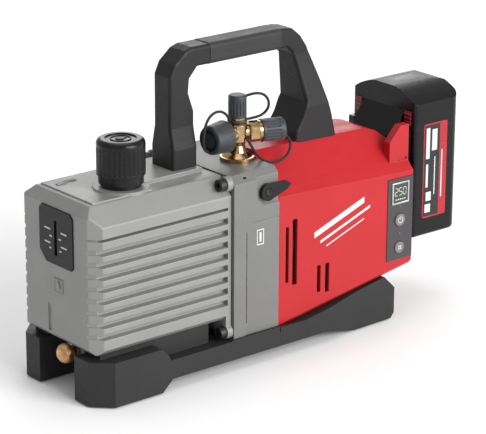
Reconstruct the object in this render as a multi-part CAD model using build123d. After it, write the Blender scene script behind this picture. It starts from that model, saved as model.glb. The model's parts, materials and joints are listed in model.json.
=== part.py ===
from build123d import *

import os
from math import cos, pi, radians, sin, tan

# A cordless two-stage rotary-vane vacuum pump for refrigeration service.
# X runs from the oil case at the front to the battery at the back, +Y is the far side,
# the lever side is -Y, and Z is up from the surface that the pump stands on.
# Lengths along the pump are stations: millimetres behind the oil case's front face.

FRONT = -208.0  # X of the oil case's front face, so that the whole pump is centred on X = 0

# Oil case
CASE_END = 142.9
CASE_HALF = 53.2
CASE_BOTTOM = 46.0
CASE_TOP = 171.0
CASE_WALL = 5.0
TOP_CHAMFER = 15.0
CORNER_CHAMFER = 9.3
FIN_PITCH = 10.45
FIN_FIRST = 61.5
FIN_COUNT = 9
FIN_DEPTH = 5.2
PAD_TOP = 174.5

# Flange casting that carries the pump, the valve and the intake
FLANGE_START = 143.7
FLANGE_END = 193.8
FLANGE_HALF = 55.4
FLANGE_BOTTOM = 28.0
FLANGE_TOP = 172.0
BOLT_Y = 49.8
BOLT_HIGH = 166.5
BOLT_LOW = 34.5

# Motor housing
HOUSING_END = 352.7
HOUSING_HALF = 53.2
HOUSING_WALL = 3.0
RIDGE_HALF = 19.0
UNDER_FRONT = 23.5
UNDER_REAR = 49.0

# Line of the pump and motor shafts
AXIS_Z = 95.0
SHAFT_R = 8.0
MOTOR_SHAFT_R = 6.0
RUN = 0.05  # radial running clearance

# Pump stages
STAGE_R = 36.0
BORE_R = 22.0
BORE_RISE = 2.9
DRUM_R = 19.0
VANE_THICK = 4.0
MAIN_STAGE = (100.0, 143.7)
SECOND_STAGE = (70.0, 92.0)

# Battery
PACK = (364.5, 420.4)
PACK_HALF = 41.5
PACK_BOTTOM = 66.0
PACK_SPLIT = 168.0
PACK_SHOULDER = 191.5
PACK_CROWN = 205.6
RAIL_PLATE = (355.0, 366.0)
CHANNEL = (354.0, 362.0)  # slot down the rail plate that the socket's rails run in
TOWER_FRONT = 347.6  # station of the terminal tower's foot
TOWER_HALF = 27.0
TOWER_BOTTOM = 150.0
LATCH_YS = (28.5, 36.5)
LATCH_ZS = (172.0, 185.0)
BLADE_YS = (-20, -10, 0, 10, 20)
BLADE = (349.5, 356.0)

SKID_SCREWS = [(57.5, -38), (57.5, 38), (166, -40), (166, 40)]
SIGHT_Y = -1.8
SIGHT_Z = 136.2
OIL_CAP_TOP = 214.3
HOUSING_POSTS = [(203, 156), (300, 160), (313, 64), (203, 36)]
POWER_Z = 94.0
MODE_Z = 68.0
CELL_R = 10.6
CELL_LENGTH = 70.0

# Intake manifold
MANIFOLD = (180.5, -15.0)
PORT_Z = 195.5
REAR_TURN = -20.0  # degrees that the rear port turns about the upright, towards the lever side
FRONT_TURN = 7.0  # degrees that the front port turns, also towards the lever side
TETHER_D = 2.4

# Isolation valve
VALVE = (180.5, 152.5)  # station and height of the lever's pivot
LEVER_FLOOR = -53.4  # Y of the pocket's floor under the lever
LEVER_FACE = -57.6

# Oil cap and drain
FILL = (57.5, -14.0)
DRAIN_Y = -8.5
DRAIN_Z = 36.5

# Handle
GRIP = (153.7, 231.7)
BAR_TOP = 277.0
BAR_UNDER = 259.5
BAR_HALF = 11.5
HANDLE_JOIN = 190.0  # station where the front and rear of the arch meet

# Skid
FOOT_HALF = 60.6
RAIL_HALF = 58.5
REAR_HALF = 52.4

parts = {}


def at(station):
    """X of a station along the pump."""
    return FRONT + station


def block(stations, ys, zs):
    """A box between two stations, two Y and two Z."""
    sizes = (stations[1] - stations[0], ys[1] - ys[0], zs[1] - zs[0])
    centre = (at(sum(stations) / 2), sum(ys) / 2, sum(zs) / 2)
    return Pos(*centre) * Box(*sizes)


def plate_y(points, ys):
    """A plate across the pump: its outline in (station, Z), its thickness from y to y."""
    outline = make_face(Polyline(*[(at(s), ys[0], z) for s, z in points], close=True))
    return Solid.extrude(outline.face(), Vector(0, ys[1] - ys[0], 0))


def plate_x(points, stations):
    """A plate square to the shaft: its outline in (Y, Z), its thickness between two stations."""
    x = at(stations[0])
    outline = make_face(Polyline(*[(x, y, z) for y, z in points], close=True))
    return Solid.extrude(outline.face(), Vector(stations[1] - stations[0], 0, 0))


def plate_z(points, zs):
    """A level plate: its outline in (station, Y), its thickness from z to z."""
    outline = make_face(Polyline(*[(at(s), y, zs[0]) for s, y in points], close=True))
    return Solid.extrude(outline.face(), Vector(0, 0, zs[1] - zs[0]))


def mirrored(points):
    """An outline in (Y, Z) or (station, Y) completed by its mirror image about Y = 0."""
    return points + [(-y, z) for y, z in reversed(points)]


def rod_x(radius, stations, y=0.0, z=AXIS_Z):
    """A cylinder along the pump between two stations."""
    length = stations[1] - stations[0]
    return Pos(at(sum(stations) / 2), y, z) * Rot(0, 90, 0) * Cylinder(radius, length)


def rod_y(radius, station, ys, z):
    """A cylinder across the pump."""
    return Pos(at(station), sum(ys) / 2, z) * Rot(90, 0, 0) * Cylinder(radius, ys[1] - ys[0])


def rod_z(radius, station, y, zs):
    """An upright cylinder."""
    return Pos(at(station), y, sum(zs) / 2) * Cylinder(radius, zs[1] - zs[0])


def cone_z(low_r, high_r, station, y, zs):
    """An upright cone."""
    return Pos(at(station), y, sum(zs) / 2) * Cone(low_r, high_r, zs[1] - zs[0])


def ring_x(outer, inner, stations, z=AXIS_Z):
    """A ring round the shaft line."""
    return rod_x(outer, stations, z=z) - rod_x(inner, stations, z=z)


def keep(name, *solids):
    """Stores one node, made of one or more separate solids."""
    parts[name] = Compound(label=name, children=[s for shape in solids for s in shape.solids()])


# ---------------------------------------------------------------- base


def base_skid():
    """Moulded tray: two side rails with feet, open arches front and back, pads for the case."""
    side = [
        (-1.2, 1), (64, 1), (76.5, 10), (251, 10), (284, 1), (330, 1), (334, 6), (334, 30),
        (321, 42.6), (227, 27.6), (193.6, 22.4), (193.6, 27.9), (140, 27.9), (140, 27), (74, 27),
        (72, 31), (64, 40), (-1.2, 40),
    ]
    plan = [
        (-1.2, 44.8), (14.6, FOOT_HALF), (62, FOOT_HALF), (76, RAIL_HALF), (251, RAIL_HALF),
        (284, 54), (334, REAR_HALF),
    ]
    plan += [(s, -y) for s, y in reversed(plan)]
    skid = plate_y(side, (-FOOT_HALF, FOOT_HALF)) & plate_z(plan, (0, 60))
    skid += block((194.5, 262), (-RAIL_HALF, -54.2), (20, 27)) & plate_z(plan, (0, 60))
    skid += block((194.5, 262), (54.2, RAIL_HALF), (20, 27)) & plate_z(plan, (0, 60))
    skid += block((52, 64), (-46, 46), (39, CASE_BOTTOM))
    for side_of in (-1, 1):
        ys = sorted((side_of * 27.0, side_of * 46.0))
        skid += block((10, 58), ys, (39, CASE_BOTTOM))
    skid += block((64, 124), (-46, 46), (26, CASE_BOTTOM))
    skid -= block((-2, 50), (-25, 25), (0, 48))
    skid -= block((-2, 70), (-25, 25), (0, 24))
    skid -= block((68, 262), (-47, 47), (0, 19.5))
    skid -= block((76, 136), (-40, 40), (0, 30))
    skid -= block((258, 340), (-24, 24), (0, 22))
    for station, y in ((25, 42), (307, 38)):
        for side_of in (-1, 1):
            skid -= foot_pad(station, side_of * y, 0.1)
    for station, y in SKID_SCREWS:
        skid -= rod_z(2.6, station, y, (0, 60))
        skid -= rod_z(5.2, station, y, (0, 30))
    return skid


def foot_pad(station, y, spare=0.0):
    """One rubber foot, or its pocket when it has spare room round it."""
    length, width = 30 + 2 * spare, 20 + 2 * spare
    pad = Pos(at(station), y, 2) * Box(length, width, 4)
    return fillet(pad.edges().filter_by(Axis.Z), 4)


def skid_screw(station, y, shoulder, tip):
    """A pan-head screw that rises through the skid."""
    head = rod_z(4.5, station, y, (shoulder - 3, shoulder))
    head -= rod_z(2, station, y, (shoulder - 3, shoulder - 1.2))
    return head + rod_z(2.5, station, y, (shoulder - 0.1, tip))


# ---------------------------------------------------------------- oil case


def case_section(inset=0.0, side_inset=0.0):
    """Outline of the oil case across the pump, in (Y, Z), or of the space inside it."""
    half = CASE_HALF - (side_inset or inset)
    bottom, top = CASE_BOTTOM + inset, CASE_TOP - inset
    bevel = TOP_CHAMFER - inset * 0.586
    return mirrored([(half - 4, bottom), (half, bottom + 4), (half, top - bevel), (half - bevel, top)])


def case_plan():
    """Outline of the oil case from above, with its front corners cut off."""
    half, cut = CASE_HALF, CORNER_CHAMFER
    near = [(0, -half + cut), (cut, -half), (CASE_END, -half)]
    return near + [(CASE_END, half), (cut, half), (0, half - cut)]


def case_side():
    """Outline of the oil case from the side, with its front edges cut off."""
    return [
        (0, CASE_BOTTOM + 4), (4, CASE_BOTTOM), (CASE_END, CASE_BOTTOM), (CASE_END, CASE_TOP),
        (8, CASE_TOP), (0, CASE_TOP - 8),
    ]


def bolt_places():
    """Y and Z of the four case bolts."""
    return [(y, z) for y in (-BOLT_Y, BOLT_Y) for z in (BOLT_LOW, BOLT_HIGH)]


def oil_case():
    """Finned cast case, open at the back, with its fill hole, sight opening and drain boss."""
    case = plate_x(case_section(), (0, CASE_END))
    case = case & plate_z(case_plan(), (0, 300)) & plate_y(case_side(), (-60, 60))
    corners = [
        edge for edge in case.edges()
        if edge.center().X < at(CASE_END - 1) and edge.center().Z > CASE_BOTTOM + 6
    ]
    case = fillet(corners, 2.2)
    for y, z in bolt_places():
        inward = (38.0, z) if z > AXIS_Z else (40.0, CASE_BOTTOM + 8)
        case += rod_x(6.4, (137.4, CASE_END), y, z)
        ys = sorted((y, y - 12.8 * (1 if y > 0 else -1)))
        zs = (CASE_TOP - 26, z) if z > AXIS_Z else (z, CASE_BOTTOM + 10)
        case += block((137.4, CASE_END), (ys[0], ys[1]), zs)
        outer = sorted((y, y + 3.4 * (1 if y > 0 else -1)))
        low = zs[0] + (16 if z > AXIS_Z else 0)
        case += block((137.4, CASE_END), (outer[0], outer[1]), (low, zs[1]))
    case += top_pads()
    case += block((13, 36), (-20, 4), (29.5, CASE_BOTTOM + 4))
    case -= plate_x(case_section(CASE_WALL, FIN_DEPTH + CASE_WALL), (CASE_WALL, CASE_END + 1))
    for k in range(FIN_COUNT):
        z = FIN_FIRST + k * FIN_PITCH
        floor = CASE_HALF - FIN_DEPTH
        lower = [(-60, z - 3.9), (-CASE_HALF, z - 2.9), (-floor, z - 1.7)]
        groove = lower + [(-floor, z + 1.7), (-CASE_HALF, z + 2.9), (-60, z + 3.9)]
        if z > 140:
            groove = [(y, z + 0.45 * (h - z)) for y, h in groove]
        case -= plate_x(groove, (6.5, 139.5))
        case -= plate_x([(-y, h) for y, h in groove], (6.5, 139.5))
        high = 2.0 if z < 140 else 0.9
        for side_of in (-1, 1):
            corner = [(-1, 41.2), (13, 55.2), (13, 60), (-1, 60)]
            case -= plate_z([(s, side_of * y) for s, y in corner], (z - high, z + high))
    case -= sight_outline(1.6, 0.2)
    case -= block((1, 4.4), (SIGHT_Y - 8, SIGHT_Y + 8), (SIGHT_Z - 19, SIGHT_Z + 19))
    case -= block((4, 6), (SIGHT_Y - 6, SIGHT_Y + 6), (SIGHT_Z - 17, SIGHT_Z + 17))
    case -= block((-1, 1.3), (7.5, 12.5), (52, 76))
    case -= rod_z(13, FILL[0], FILL[1], (160, 180))
    case -= rod_x(6, (12, 29), DRAIN_Y, DRAIN_Z)
    case -= rod_z(3, 26, DRAIN_Y, (DRAIN_Z, 60))
    for y, z in bolt_places():
        case -= rod_x(5.8, (126, 137.4), y, z)
        case -= rod_x(3.2, (130, 150), y, z)
    for y in (-8, 8):
        case -= rod_z(2.3, 124, y, (160, 180))
    for station, y in SKID_SCREWS[:2]:
        case -= rod_z(2.55, station, y, (40, 60))
        case += (rod_z(5.5, station, y, (48, 58)) - rod_z(2.55, station, y, (40, 56)))
    return case


def top_pads():
    """Raised flats on the case's top: a round seat for the fill neck and a pad for the handle."""
    pads = rod_z(24, FILL[0], FILL[1], (CASE_TOP - 2, CASE_TOP + 2.5))
    pads += block((12, 72), (-36, 36), (CASE_TOP - 2, CASE_TOP + 1.2))
    pads += block((76, 137), (-21, 21), (CASE_TOP - 2, PAD_TOP))
    return pads


def sight_outline(depth, grow=0.0):
    """The sight glass bezel's outline with cut corners, as thick as depth behind the front face."""
    low_y, high_y, low_z, high_z = -25.4 - grow, 21.2 + grow, 113.0 - grow, 161.7 + grow
    outline = [
        (low_y, low_z + 3), (low_y + 3, low_z), (high_y - 9, low_z), (high_y, low_z + 9),
        (high_y, high_z - 4), (high_y - 4, high_z), (low_y + 4, high_z), (low_y, high_z - 4),
    ]
    return plate_x(outline, (-1.0 if grow == 0 else -2.0, depth))


def sight_bezel():
    """Black bezel with the level slot through it."""
    bezel = sight_outline(1.6)
    bezel -= block((-2, 3), (SIGHT_Y - 2, SIGHT_Y + 2), (SIGHT_Z - 15, SIGHT_Z + 15))
    return bezel


def oil_fill_neck():
    """Flanged nozzle that the cap screws on."""
    neck = rod_z(12.9, *FILL, (163, 175))
    neck += rod_z(17, *FILL, (CASE_TOP + 2.5, 176))
    neck += rod_z(12, *FILL, (175.5, 188))
    return neck - rod_z(9.5, *FILL, (160, 190))


def oil_cap():
    """Ribbed cap with a dished top, hollow below."""
    cap = rod_z(18.9, *FILL, (176.6, 185))
    body = rod_z(20.5, *FILL, (184, OIL_CAP_TOP))
    top_edge = body.edges().filter_by(GeomType.CIRCLE).sort_by(Axis.Z)[-1]
    cap += fillet(top_edge, 4.5)
    for k in range(30):
        turn = 2 * pi * k / 30
        x, y = FILL[0] + 21.2 * cos(turn), FILL[1] + 21.2 * sin(turn)
        cap -= rod_z(1.4, x, y, (186.5, OIL_CAP_TOP - 6.5))
    cap -= rod_z(13.2, *FILL, (OIL_CAP_TOP - 1, OIL_CAP_TOP + 1))
    cap -= rod_z(12.4, *FILL, (176, 199))
    return cap


# ---------------------------------------------------------------- flange casting


def pump_flange():
    """Casting between the case and the motor: bulkhead, coupling chamber and valve block."""
    edge = FLANGE_HALF
    section = mirrored([(edge, FLANGE_BOTTOM), (edge, FLANGE_TOP - 7), (edge - 7, FLANGE_TOP)])
    flange = plate_x(section, (FLANGE_START, FLANGE_END))
    rim = mirrored([(56.4, FLANGE_BOTTOM), (56.4, FLANGE_TOP - 6.5), (56.4 - 7, FLANGE_TOP)])
    flange += plate_x(rim, (FLANGE_START, 156))
    flange -= block((164, 200), (-49, 49), (34, 134))
    flange -= rod_x(SHAFT_R + 0.5, (140, 170))
    flange -= rod_x(14, (150, 158))
    for side_of in (-1, 1):
        outer = sorted((side_of * 54.6, side_of * 60))
        flange -= block((157.4, 158.6), outer, (39, 121))
        flange -= block((164, 200), outer, (127.5, 128.5))
    # pocket that the valve lever turns in, the ball's bore and the passage down from the intake
    pocket = rod_y(11.0, VALVE[0], (-60, LEVER_FLOOR), VALVE[1])
    pocket += block((VALVE[0] - 11, 200), (-60, LEVER_FLOOR), (VALVE[1], 180))
    pocket += block((VALVE[0], 200), (-60, LEVER_FLOOR), (VALVE[1] - 11, VALVE[1] + 1))
    flange -= pocket
    flange -= rod_y(9.0, VALVE[0], (-44, MANIFOLD[1] + 9), VALVE[1])
    flange -= rod_y(5.0, VALVE[0], (-60, -43), VALVE[1])
    flange -= rod_z(5.0, *MANIFOLD, (VALVE[1], 175))
    flange -= rod_z(4.0, *MANIFOLD, (128, VALVE[1]))
    for y, z in bolt_places():
        flange -= rod_x(3.05, (140, 160), y, z)
    for station, y in SKID_SCREWS[2:]:
        flange -= rod_z(2.55, station, y, (27, 33))
    for y, z in pump_bolt_places():
        flange -= rod_x(2.55, (140, 156), y, z)
    return flange


def case_bolt(y, z):
    """Socket-head bolt from the case's lug into the flange."""
    bolt = rod_x(5.2, (131.4, 137.4), y, z) + rod_x(3.0, (137, 156), y, z)
    socket = Rot(0, 90, 0) * extrude(RegularPolygon(2.7, 6), 3.2)
    return bolt - Pos(at(131.3), y, z) * socket


# ---------------------------------------------------------------- pump inside the case


def pump_bolt_places():
    """Y and Z of the four bolts through the pump stages."""
    return [(30 * cos(radians(a)), AXIS_Z + 30 * sin(radians(a))) for a in (45, 135, 225, 315)]


def stage_ring(stations):
    """A stage body with its bore set above the shaft line."""
    ring = rod_x(STAGE_R, stations) - rod_x(BORE_R, stations, z=AXIS_Z + BORE_RISE)
    return without_bolts(ring, stations)


def without_bolts(solid, stations):
    """The solid with clearance holes for the pump bolts."""
    for y, z in pump_bolt_places():
        solid -= rod_x(2.6, (stations[0] - 1, stations[1] + 1), y, z)
    return solid


def pump_rotor():
    """Shaft with a drum for each stage, slotted on both sides for the vanes."""
    rotor = rod_x(SHAFT_R, (65, 176))
    for start, end in (MAIN_STAGE, SECOND_STAGE):
        rotor += rod_x(DRUM_R, (start + 0.1, end - 0.1))
        for ys in ((-20, -9.5), (9.5, 20)):
            half = VANE_THICK / 2
            rotor -= block((start, end), ys, (AXIS_Z - half, AXIS_Z + half))
    return rotor


def vane(stage, side_of):
    """A vane resting in its slot, inside the drum."""
    half = VANE_THICK / 2 - 0.05
    ys = sorted((side_of * 9.6, side_of * (DRUM_R - 0.35)))
    return block((stage[0] + 0.15, stage[1] - 0.15), ys, (AXIS_Z - half, AXIS_Z + half))


def pump_bolt(y, z):
    """Long bolt through the end cover and both stages into the bulkhead."""
    return rod_x(4.2, (57, 61), y, z) + rod_x(2.5, (60.5, 154), y, z)


# ---------------------------------------------------------------- motor


def fan():
    """Cooling fan with radial blades on a disc."""
    wheel = rod_x(11, (203, 215)) + rod_x(38, (203, 205))
    for k in range(11):
        blade = Pos(0, 0, 24) * Rot(12, 0, 0) * Box(12, 1.8, 27)
        blade = Pos(at(209), 0, AXIS_Z) * Rot(k * 360 / 11, 0, 0) * blade
        wheel += blade
    return wheel - rod_x(MOTOR_SHAFT_R + 0.02, (200, 220))


def bracket(stations, bearing):
    """Motor bearing bracket: a disc with windows and a seat for the bearing."""
    disc = rod_x(46, stations)
    disc -= rod_x(13.05, bearing) + rod_x(9, (stations[0] - 1, stations[1] + 1))
    for k in range(6):
        angle = radians(60 * k + 30)
        disc -= rod_x(7.5, (stations[0] - 1, stations[1] + 1), 28 * cos(angle), AXIS_Z + 28 * sin(angle))
    return disc


def stator():
    """Laminated ring with nine teeth."""
    ring = ring_x(40, 34, (234, 282))
    for k in range(9):
        tooth = Pos(at(258), 0, AXIS_Z) * Rot(k * 40, 0, 0) * Pos(0, 0, 29.6) * Box(48, 7, 10)
        ring += tooth
        shoe = ring_x(26.5, 24.2, (234, 282)) & (
            Pos(at(258), 0, AXIS_Z) * Rot(k * 40, 0, 0) * Pos(0, 0, 26) * Box(48, 13, 8)
        )
        ring += shoe
    return ring


def winding(k):
    """One coil round a stator tooth, drawn as a rounded block with the tooth's slot through it."""
    coil = Box(56, 11.4, 5.0)
    coil = fillet(coil.edges().filter_by(Axis.Z), 1.2) - Box(48.4, 7.3, 8)
    return Pos(at(258), 0, AXIS_Z) * Rot(k * 40, 0, 0) * Pos(0, 0, 29.9) * coil


# ---------------------------------------------------------------- housing


def housing_section(station, inset=0.0):
    """Outline of the motor housing across the pump at a station, in (Y, Z)."""
    share = (station - FLANGE_END) / (HOUSING_END - FLANGE_END)
    bottom = UNDER_FRONT + share * (UNDER_REAR - UNDER_FRONT) + inset
    crease = 144.0 - 6.5 * share - 0.4 * inset
    ridge = 178.0 - 5.0 * share - inset
    half, narrow = HOUSING_HALF - inset, RIDGE_HALF - 0.4 * inset
    points = mirrored([(half - 3, bottom), (half, bottom + 3.5), (half, crease), (narrow, ridge)])
    return make_face(Polyline(*[(at(station), y, z) for y, z in points], close=True))


def housing_solid(start, end, inset=0.0):
    """The housing's outer form, or the space inside it."""
    return loft([housing_section(start, inset), housing_section(end, inset)], ruled=True)


def housing_shell():
    """Both halves of the housing as one shell, before they are parted at Y = 0."""
    shell = housing_solid(FLANGE_END, HOUSING_END)
    rim = [(334.3, 170.3), (346.8, 158)]
    shell -= plate_y([(292, 200), (300, 177.2), (318, 175.6), *rim, (360, 158), (380, 200)], (-60, 60))
    cheek = [(330, 140), (330, 164.5), (342.5, 178.5), (HOUSING_END, 178.5), (HOUSING_END, 140)]
    shell += plate_y(cheek, (-46, -38.6))
    shell -= housing_solid(FLANGE_END - 1, HOUSING_END - HOUSING_WALL, HOUSING_WALL)
    shell -= plate_y([*rim, (346.8, 149), (360, 149), (360, 200), (334.3, 200)], (-38.3, 38.3))
    shell -= block((340, 351), (-48, -44.8), (146.2, 149.0))
    shell -= block((327, 360), (-36, 36), (112, 150))
    shell -= rod_z(15.5, *MANIFOLD, (168, 190))
    shell -= block((340, 360), (-30, 30), (84, 150))
    slots = ((203.5, 207, 64, 115), (211.2, 216.6, 60.5, 120.5), (240, 244, 47, 72), (249.4, 254, 45, 72))
    for low, high, bottom, top in slots:
        for ys in ((-60, -48), (48, 60)):
            shell -= block((low, high), ys, (bottom, top))
    for k in range(6):
        shell -= block((296 + 8 * k, 299.5 + 8 * k), (48, 60), (70, 112))
    shell -= block((322, 360), (-60, -51.2), (56.5, 133.2))
    shell -= block((325.5, 349), (-60, -48), (60, 127.5))
    return shell


def housing_half(side_of):
    """One half of the clamshell with its screw posts."""
    ys = sorted((side_of * 0.0, side_of * 60.0))
    half = housing_shell() & block((190, 360), ys, (0, 220))
    for station, z in HOUSING_POSTS:
        post_ys = sorted((side_of * 0.0, side_of * 51.0))
        half += rod_y(5.2, station, post_ys, z) & housing_solid(FLANGE_END, HOUSING_END)
    for station, z in HOUSING_POSTS:
        half -= rod_y(2.05, station, (-30, 60), z)
        half -= rod_y(4.3, station, (26.7, 60), z)
    for y in (-8, 8):
        half -= rod_z(2.3, 266, y, (165, 182))
    return half


def housing_screw(station, z):
    """Long screw that draws the halves together from the far side."""
    return rod_y(4.0, station, (26.8, 29.9), z) + rod_y(2.0, station, (-24, 27), z)


# ---------------------------------------------------------------- battery


def battery_solid():
    """The pack's whole outer form."""
    body = block(PACK, (-PACK_HALF, PACK_HALF), (PACK_BOTTOM, 215))
    upright = body.edges().filter_by(Axis.Z).sort_by(Axis.X)
    body = fillet(upright[:2], 4)
    body = fillet(body.edges().filter_by(Axis.Z).sort_by(Axis.X)[-2:], 9)
    crown_r = (PACK_HALF**2 + (PACK_CROWN - PACK_SHOULDER) ** 2) / (2 * (PACK_CROWN - PACK_SHOULDER))
    crown = rod_x(crown_r, (PACK[0] - 5, PACK[1] + 5), 0, PACK_CROWN - crown_r)
    crown += block((PACK[0] - 5, PACK[1] + 5), (-50, 50), (0, 150))
    body &= crown
    long_r = 150.0
    body &= rod_y(long_r, PACK[0] + 24, (-60, 60), PACK_CROWN + 0.5 - long_r)
    return fillet([e for e in body.edges() if e.center().Z < PACK_BOTTOM + 1], 3.5)


def pack_cavity(low, high):
    """The space for the cells between two heights."""
    wall = 2.4
    space = block((PACK[0] + wall, PACK[1] - wall), (-PACK_HALF + wall, PACK_HALF - wall), (low, high))
    return fillet(space.edges().filter_by(Axis.Z), 3)


def battery_case():
    """Lower shell of the pack, open at the top, with the rail channel on its front."""
    shell = battery_solid() + block(RAIL_PLATE, (-36, 36), (74, PACK_SPLIT))
    shell &= block((340, 430), (-60, 60), (0, PACK_SPLIT))
    shell -= block(CHANNEL, (-29, 29), (70, 200))
    shell -= pack_cavity(PACK_BOTTOM + 2.4, PACK_SPLIT + 1)
    shell -= rod_x(4.3, (410, 425), 0, 150)
    for k in range(4):
        shell -= rod_x(1.35, (410, 425), -9 + 6 * k, 138)
    return shell


def terminal_tower():
    """Sloping tower on the pack's front that holds the terminals, split where the case starts."""
    profile = [
        (TOWER_FRONT, TOWER_BOTTOM), (TOWER_FRONT, 156.5), (364.5, 184.5), (368, 184.5),
        (368, PACK_SPLIT), (361.6, PACK_SPLIT), (361.6, TOWER_BOTTOM),
    ]
    tower = plate_y(profile, (-TOWER_HALF, TOWER_HALF))
    for y in BLADE_YS:
        tower -= block((BLADE[0] - 0.8, BLADE[1] + 0.8), (y - 1.6, y + 1.6), (TOWER_BOTTOM - 1, 161.5))
    return tower


def battery_cover():
    """Crowned top of the pack with the terminal tower that drops into the housing."""
    cover = battery_solid() & block((320, 430), (-60, 60), (PACK_SPLIT, 220))
    cover -= pack_cavity(PACK_SPLIT - 1, 187)
    cover += terminal_tower()
    for side_of in (-1, 1):
        ys = sorted((side_of * (LATCH_YS[0] - 0.2), side_of * (LATCH_YS[1] + 0.2)))
        cover -= block((362, 370), ys, (LATCH_ZS[0] - 0.2, LATCH_ZS[1] + 0.2))
    return cover


def battery_latch(side_of):
    """Release button of the pack on one side of its front, with three ridges for the finger."""
    ys = sorted((side_of * LATCH_YS[0], side_of * LATCH_YS[1]))
    button = block((363.6, 367.6), ys, LATCH_ZS)
    for k in range(3):
        low = LATCH_ZS[0] + 2.2 + 3.6 * k
        button += block((362.8, 363.8), ys, (low, low + 1.6))
    return button


def battery_cells():
    """Ten cells in two columns of five."""
    cells = []
    for column in range(2):
        for row in range(5):
            station = 381.2 + 22.4 * column
            z = PACK_BOTTOM + 15.5 + 22.4 * row
            cells.append(rod_y(CELL_R, station, (-CELL_LENGTH / 2, CELL_LENGTH / 2), z))
    return cells


# ---------------------------------------------------------------- handle


def handle_outer():
    """Outline of the handle from the side, without its window."""
    return [
        (111, PAD_TOP), (111, 254.5), (116, 265), (127.5, 274.5), (135, BAR_TOP), (238, BAR_TOP),
        (246, 275.5), (255, 268), (262, 258), (267, 246), (275, 225), (284.6, 196), (289.5, 175.3),
        (289.5, 170), (250, 170), (250, PAD_TOP),
    ]


def handle_window():
    """Outline of the hand opening from the side."""
    return [
        (137, 160), (137, 222), (131.5, 238), (132.5, 250), (141, BAR_UNDER), (240, BAR_UNDER),
        (246.5, 253), (256, 210), (250, 196), (243.5, 186), (240.5, 160),
    ]


def handle_part(widths, stations):
    """The part of the arch between two stations, narrowed to widths in (Y, Z), with soft edges."""
    arch = plate_y(handle_outer(), (-22, 22)) - plate_y(handle_window(), (-30, 30))
    part = (arch & plate_x(mirrored(widths), stations)).solids()[0]
    long_edges = []
    for edge in part.edges():
        centre, span = edge.center(), (edge @ 1) - (edge @ 0)
        on_side = abs(centre.Y) > 8 and abs(span.Y) < 0.9 * edge.length
        at_join = abs(centre.X - at(HANDLE_JOIN)) < 1
        if on_side and not at_join and edge.length > 3 and centre.Z > PAD_TOP + 1:
            long_edges.append(edge)
    return fillet(long_edges, 3.0)


def handle_frame():
    """Arched carrying handle: slim at the top, spreading to a foot at each end."""
    slim = BAR_HALF
    front = [(15.5, 165), (15.5, 192), (slim, 210), (slim, 290)]
    rear = [(20, 165), (20, 205), (slim, 252), (slim, 290)]
    frame = handle_part(front, (100, HANDLE_JOIN)) + handle_part(rear, (HANDLE_JOIN, 300))
    frame -= block((105, 200), (-30, 30), (160, PAD_TOP))
    frame -= housing_solid(FLANGE_END, HOUSING_END)
    frame -= block(GRIP, (-30, 30), (250, 290)) - sleeve_core(2.2)
    for y in (-8, 8):
        frame -= rod_z(2.05, 124, y, (170, 191))
        frame -= rod_z(2.05, 266, y, (170, 193))
    return frame


def sleeve_core(inset):
    """The bar under the grip, inset from the grip's surface."""
    half, low, high = BAR_HALF - inset, BAR_UNDER + inset, BAR_TOP - inset
    core = block((GRIP[0] - 5, GRIP[1] + 5), (-half, half), (low, high))
    return fillet(core.edges().filter_by(Axis.X), 4.5 if inset < 1 else 3)


def handle_grip():
    """Soft sleeve round the bar, a little proud of the frame."""
    sleeve = sleeve_core(-0.5) - sleeve_core(2.15)
    sleeve &= block((GRIP[0] + 0.1, GRIP[1] - 0.1), (-30, 30), (240, 290))
    return sleeve


def handle_screw(station, y, head_z, tip):
    """Screw from below into a handle foot."""
    return rod_z(4, station, y, (head_z - 3, head_z)) + rod_z(2.0, station, y, (head_z - 0.1, tip))


# ---------------------------------------------------------------- intake manifold


def valve_ball():
    """Ball of the isolation valve with its passage and the slot for the stem."""
    ball = Pos(at(VALVE[0]), MANIFOLD[1], VALVE[1]) * Sphere(8.4)
    ball -= rod_z(3.6, VALVE[0], MANIFOLD[1], (140, 165))
    slot = (VALVE[0] - 1.6, VALVE[0] + 1.6)
    return ball - block(slot, (-25, -21.5), (140, 165))


def valve_stem():
    """Stem that turns the ball: a stepped shaft with a flat tang on its end."""
    stem = rod_y(4.9, VALVE[0], (-53.7, -43.2), VALVE[1])
    stem += rod_y(3.4, VALVE[0], (-43.6, -24.2), VALVE[1])
    tang = (VALVE[0] - 1.5, VALVE[0] + 1.5)
    return stem + block(tang, (-24.4, -21.8), (VALVE[1] - 2.8, VALVE[1] + 2.8))


def valve_lever():
    """Lever of the isolation valve: a round hub and a flat arm that widens over the hub."""
    x, z = VALVE
    lever = rod_y(7.6, x, (LEVER_FACE, -53.8), z)
    arm = [(x - 2, z + 7.3), (x + 20, z + 6.6), (x + 25, z + 3.4), (x + 21, z - 0.6), (x + 4, z - 6.4)]
    lever += plate_y(arm, (LEVER_FACE, -54.4))
    return lever - rod_y(3.4, x, (LEVER_FACE - 1, LEVER_FACE + 2.0), z)


def on_port(solid, turn):
    """Moves a solid drawn along X at the origin onto the line of a side port."""
    return Pos(at(MANIFOLD[0]), MANIFOLD[1], PORT_Z) * Rot(0, 0, turn) * solid


def along(radius, start, end):
    """A cylinder on a side port's line, from the manifold's axis: below zero on the front port."""
    rod = Pos((start + end) / 2, 0, 0) * Rot(0, 90, 0) * Cylinder(radius, abs(end - start))
    return on_port(rod, REAR_TURN if end > 0 else FRONT_TURN)


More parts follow.
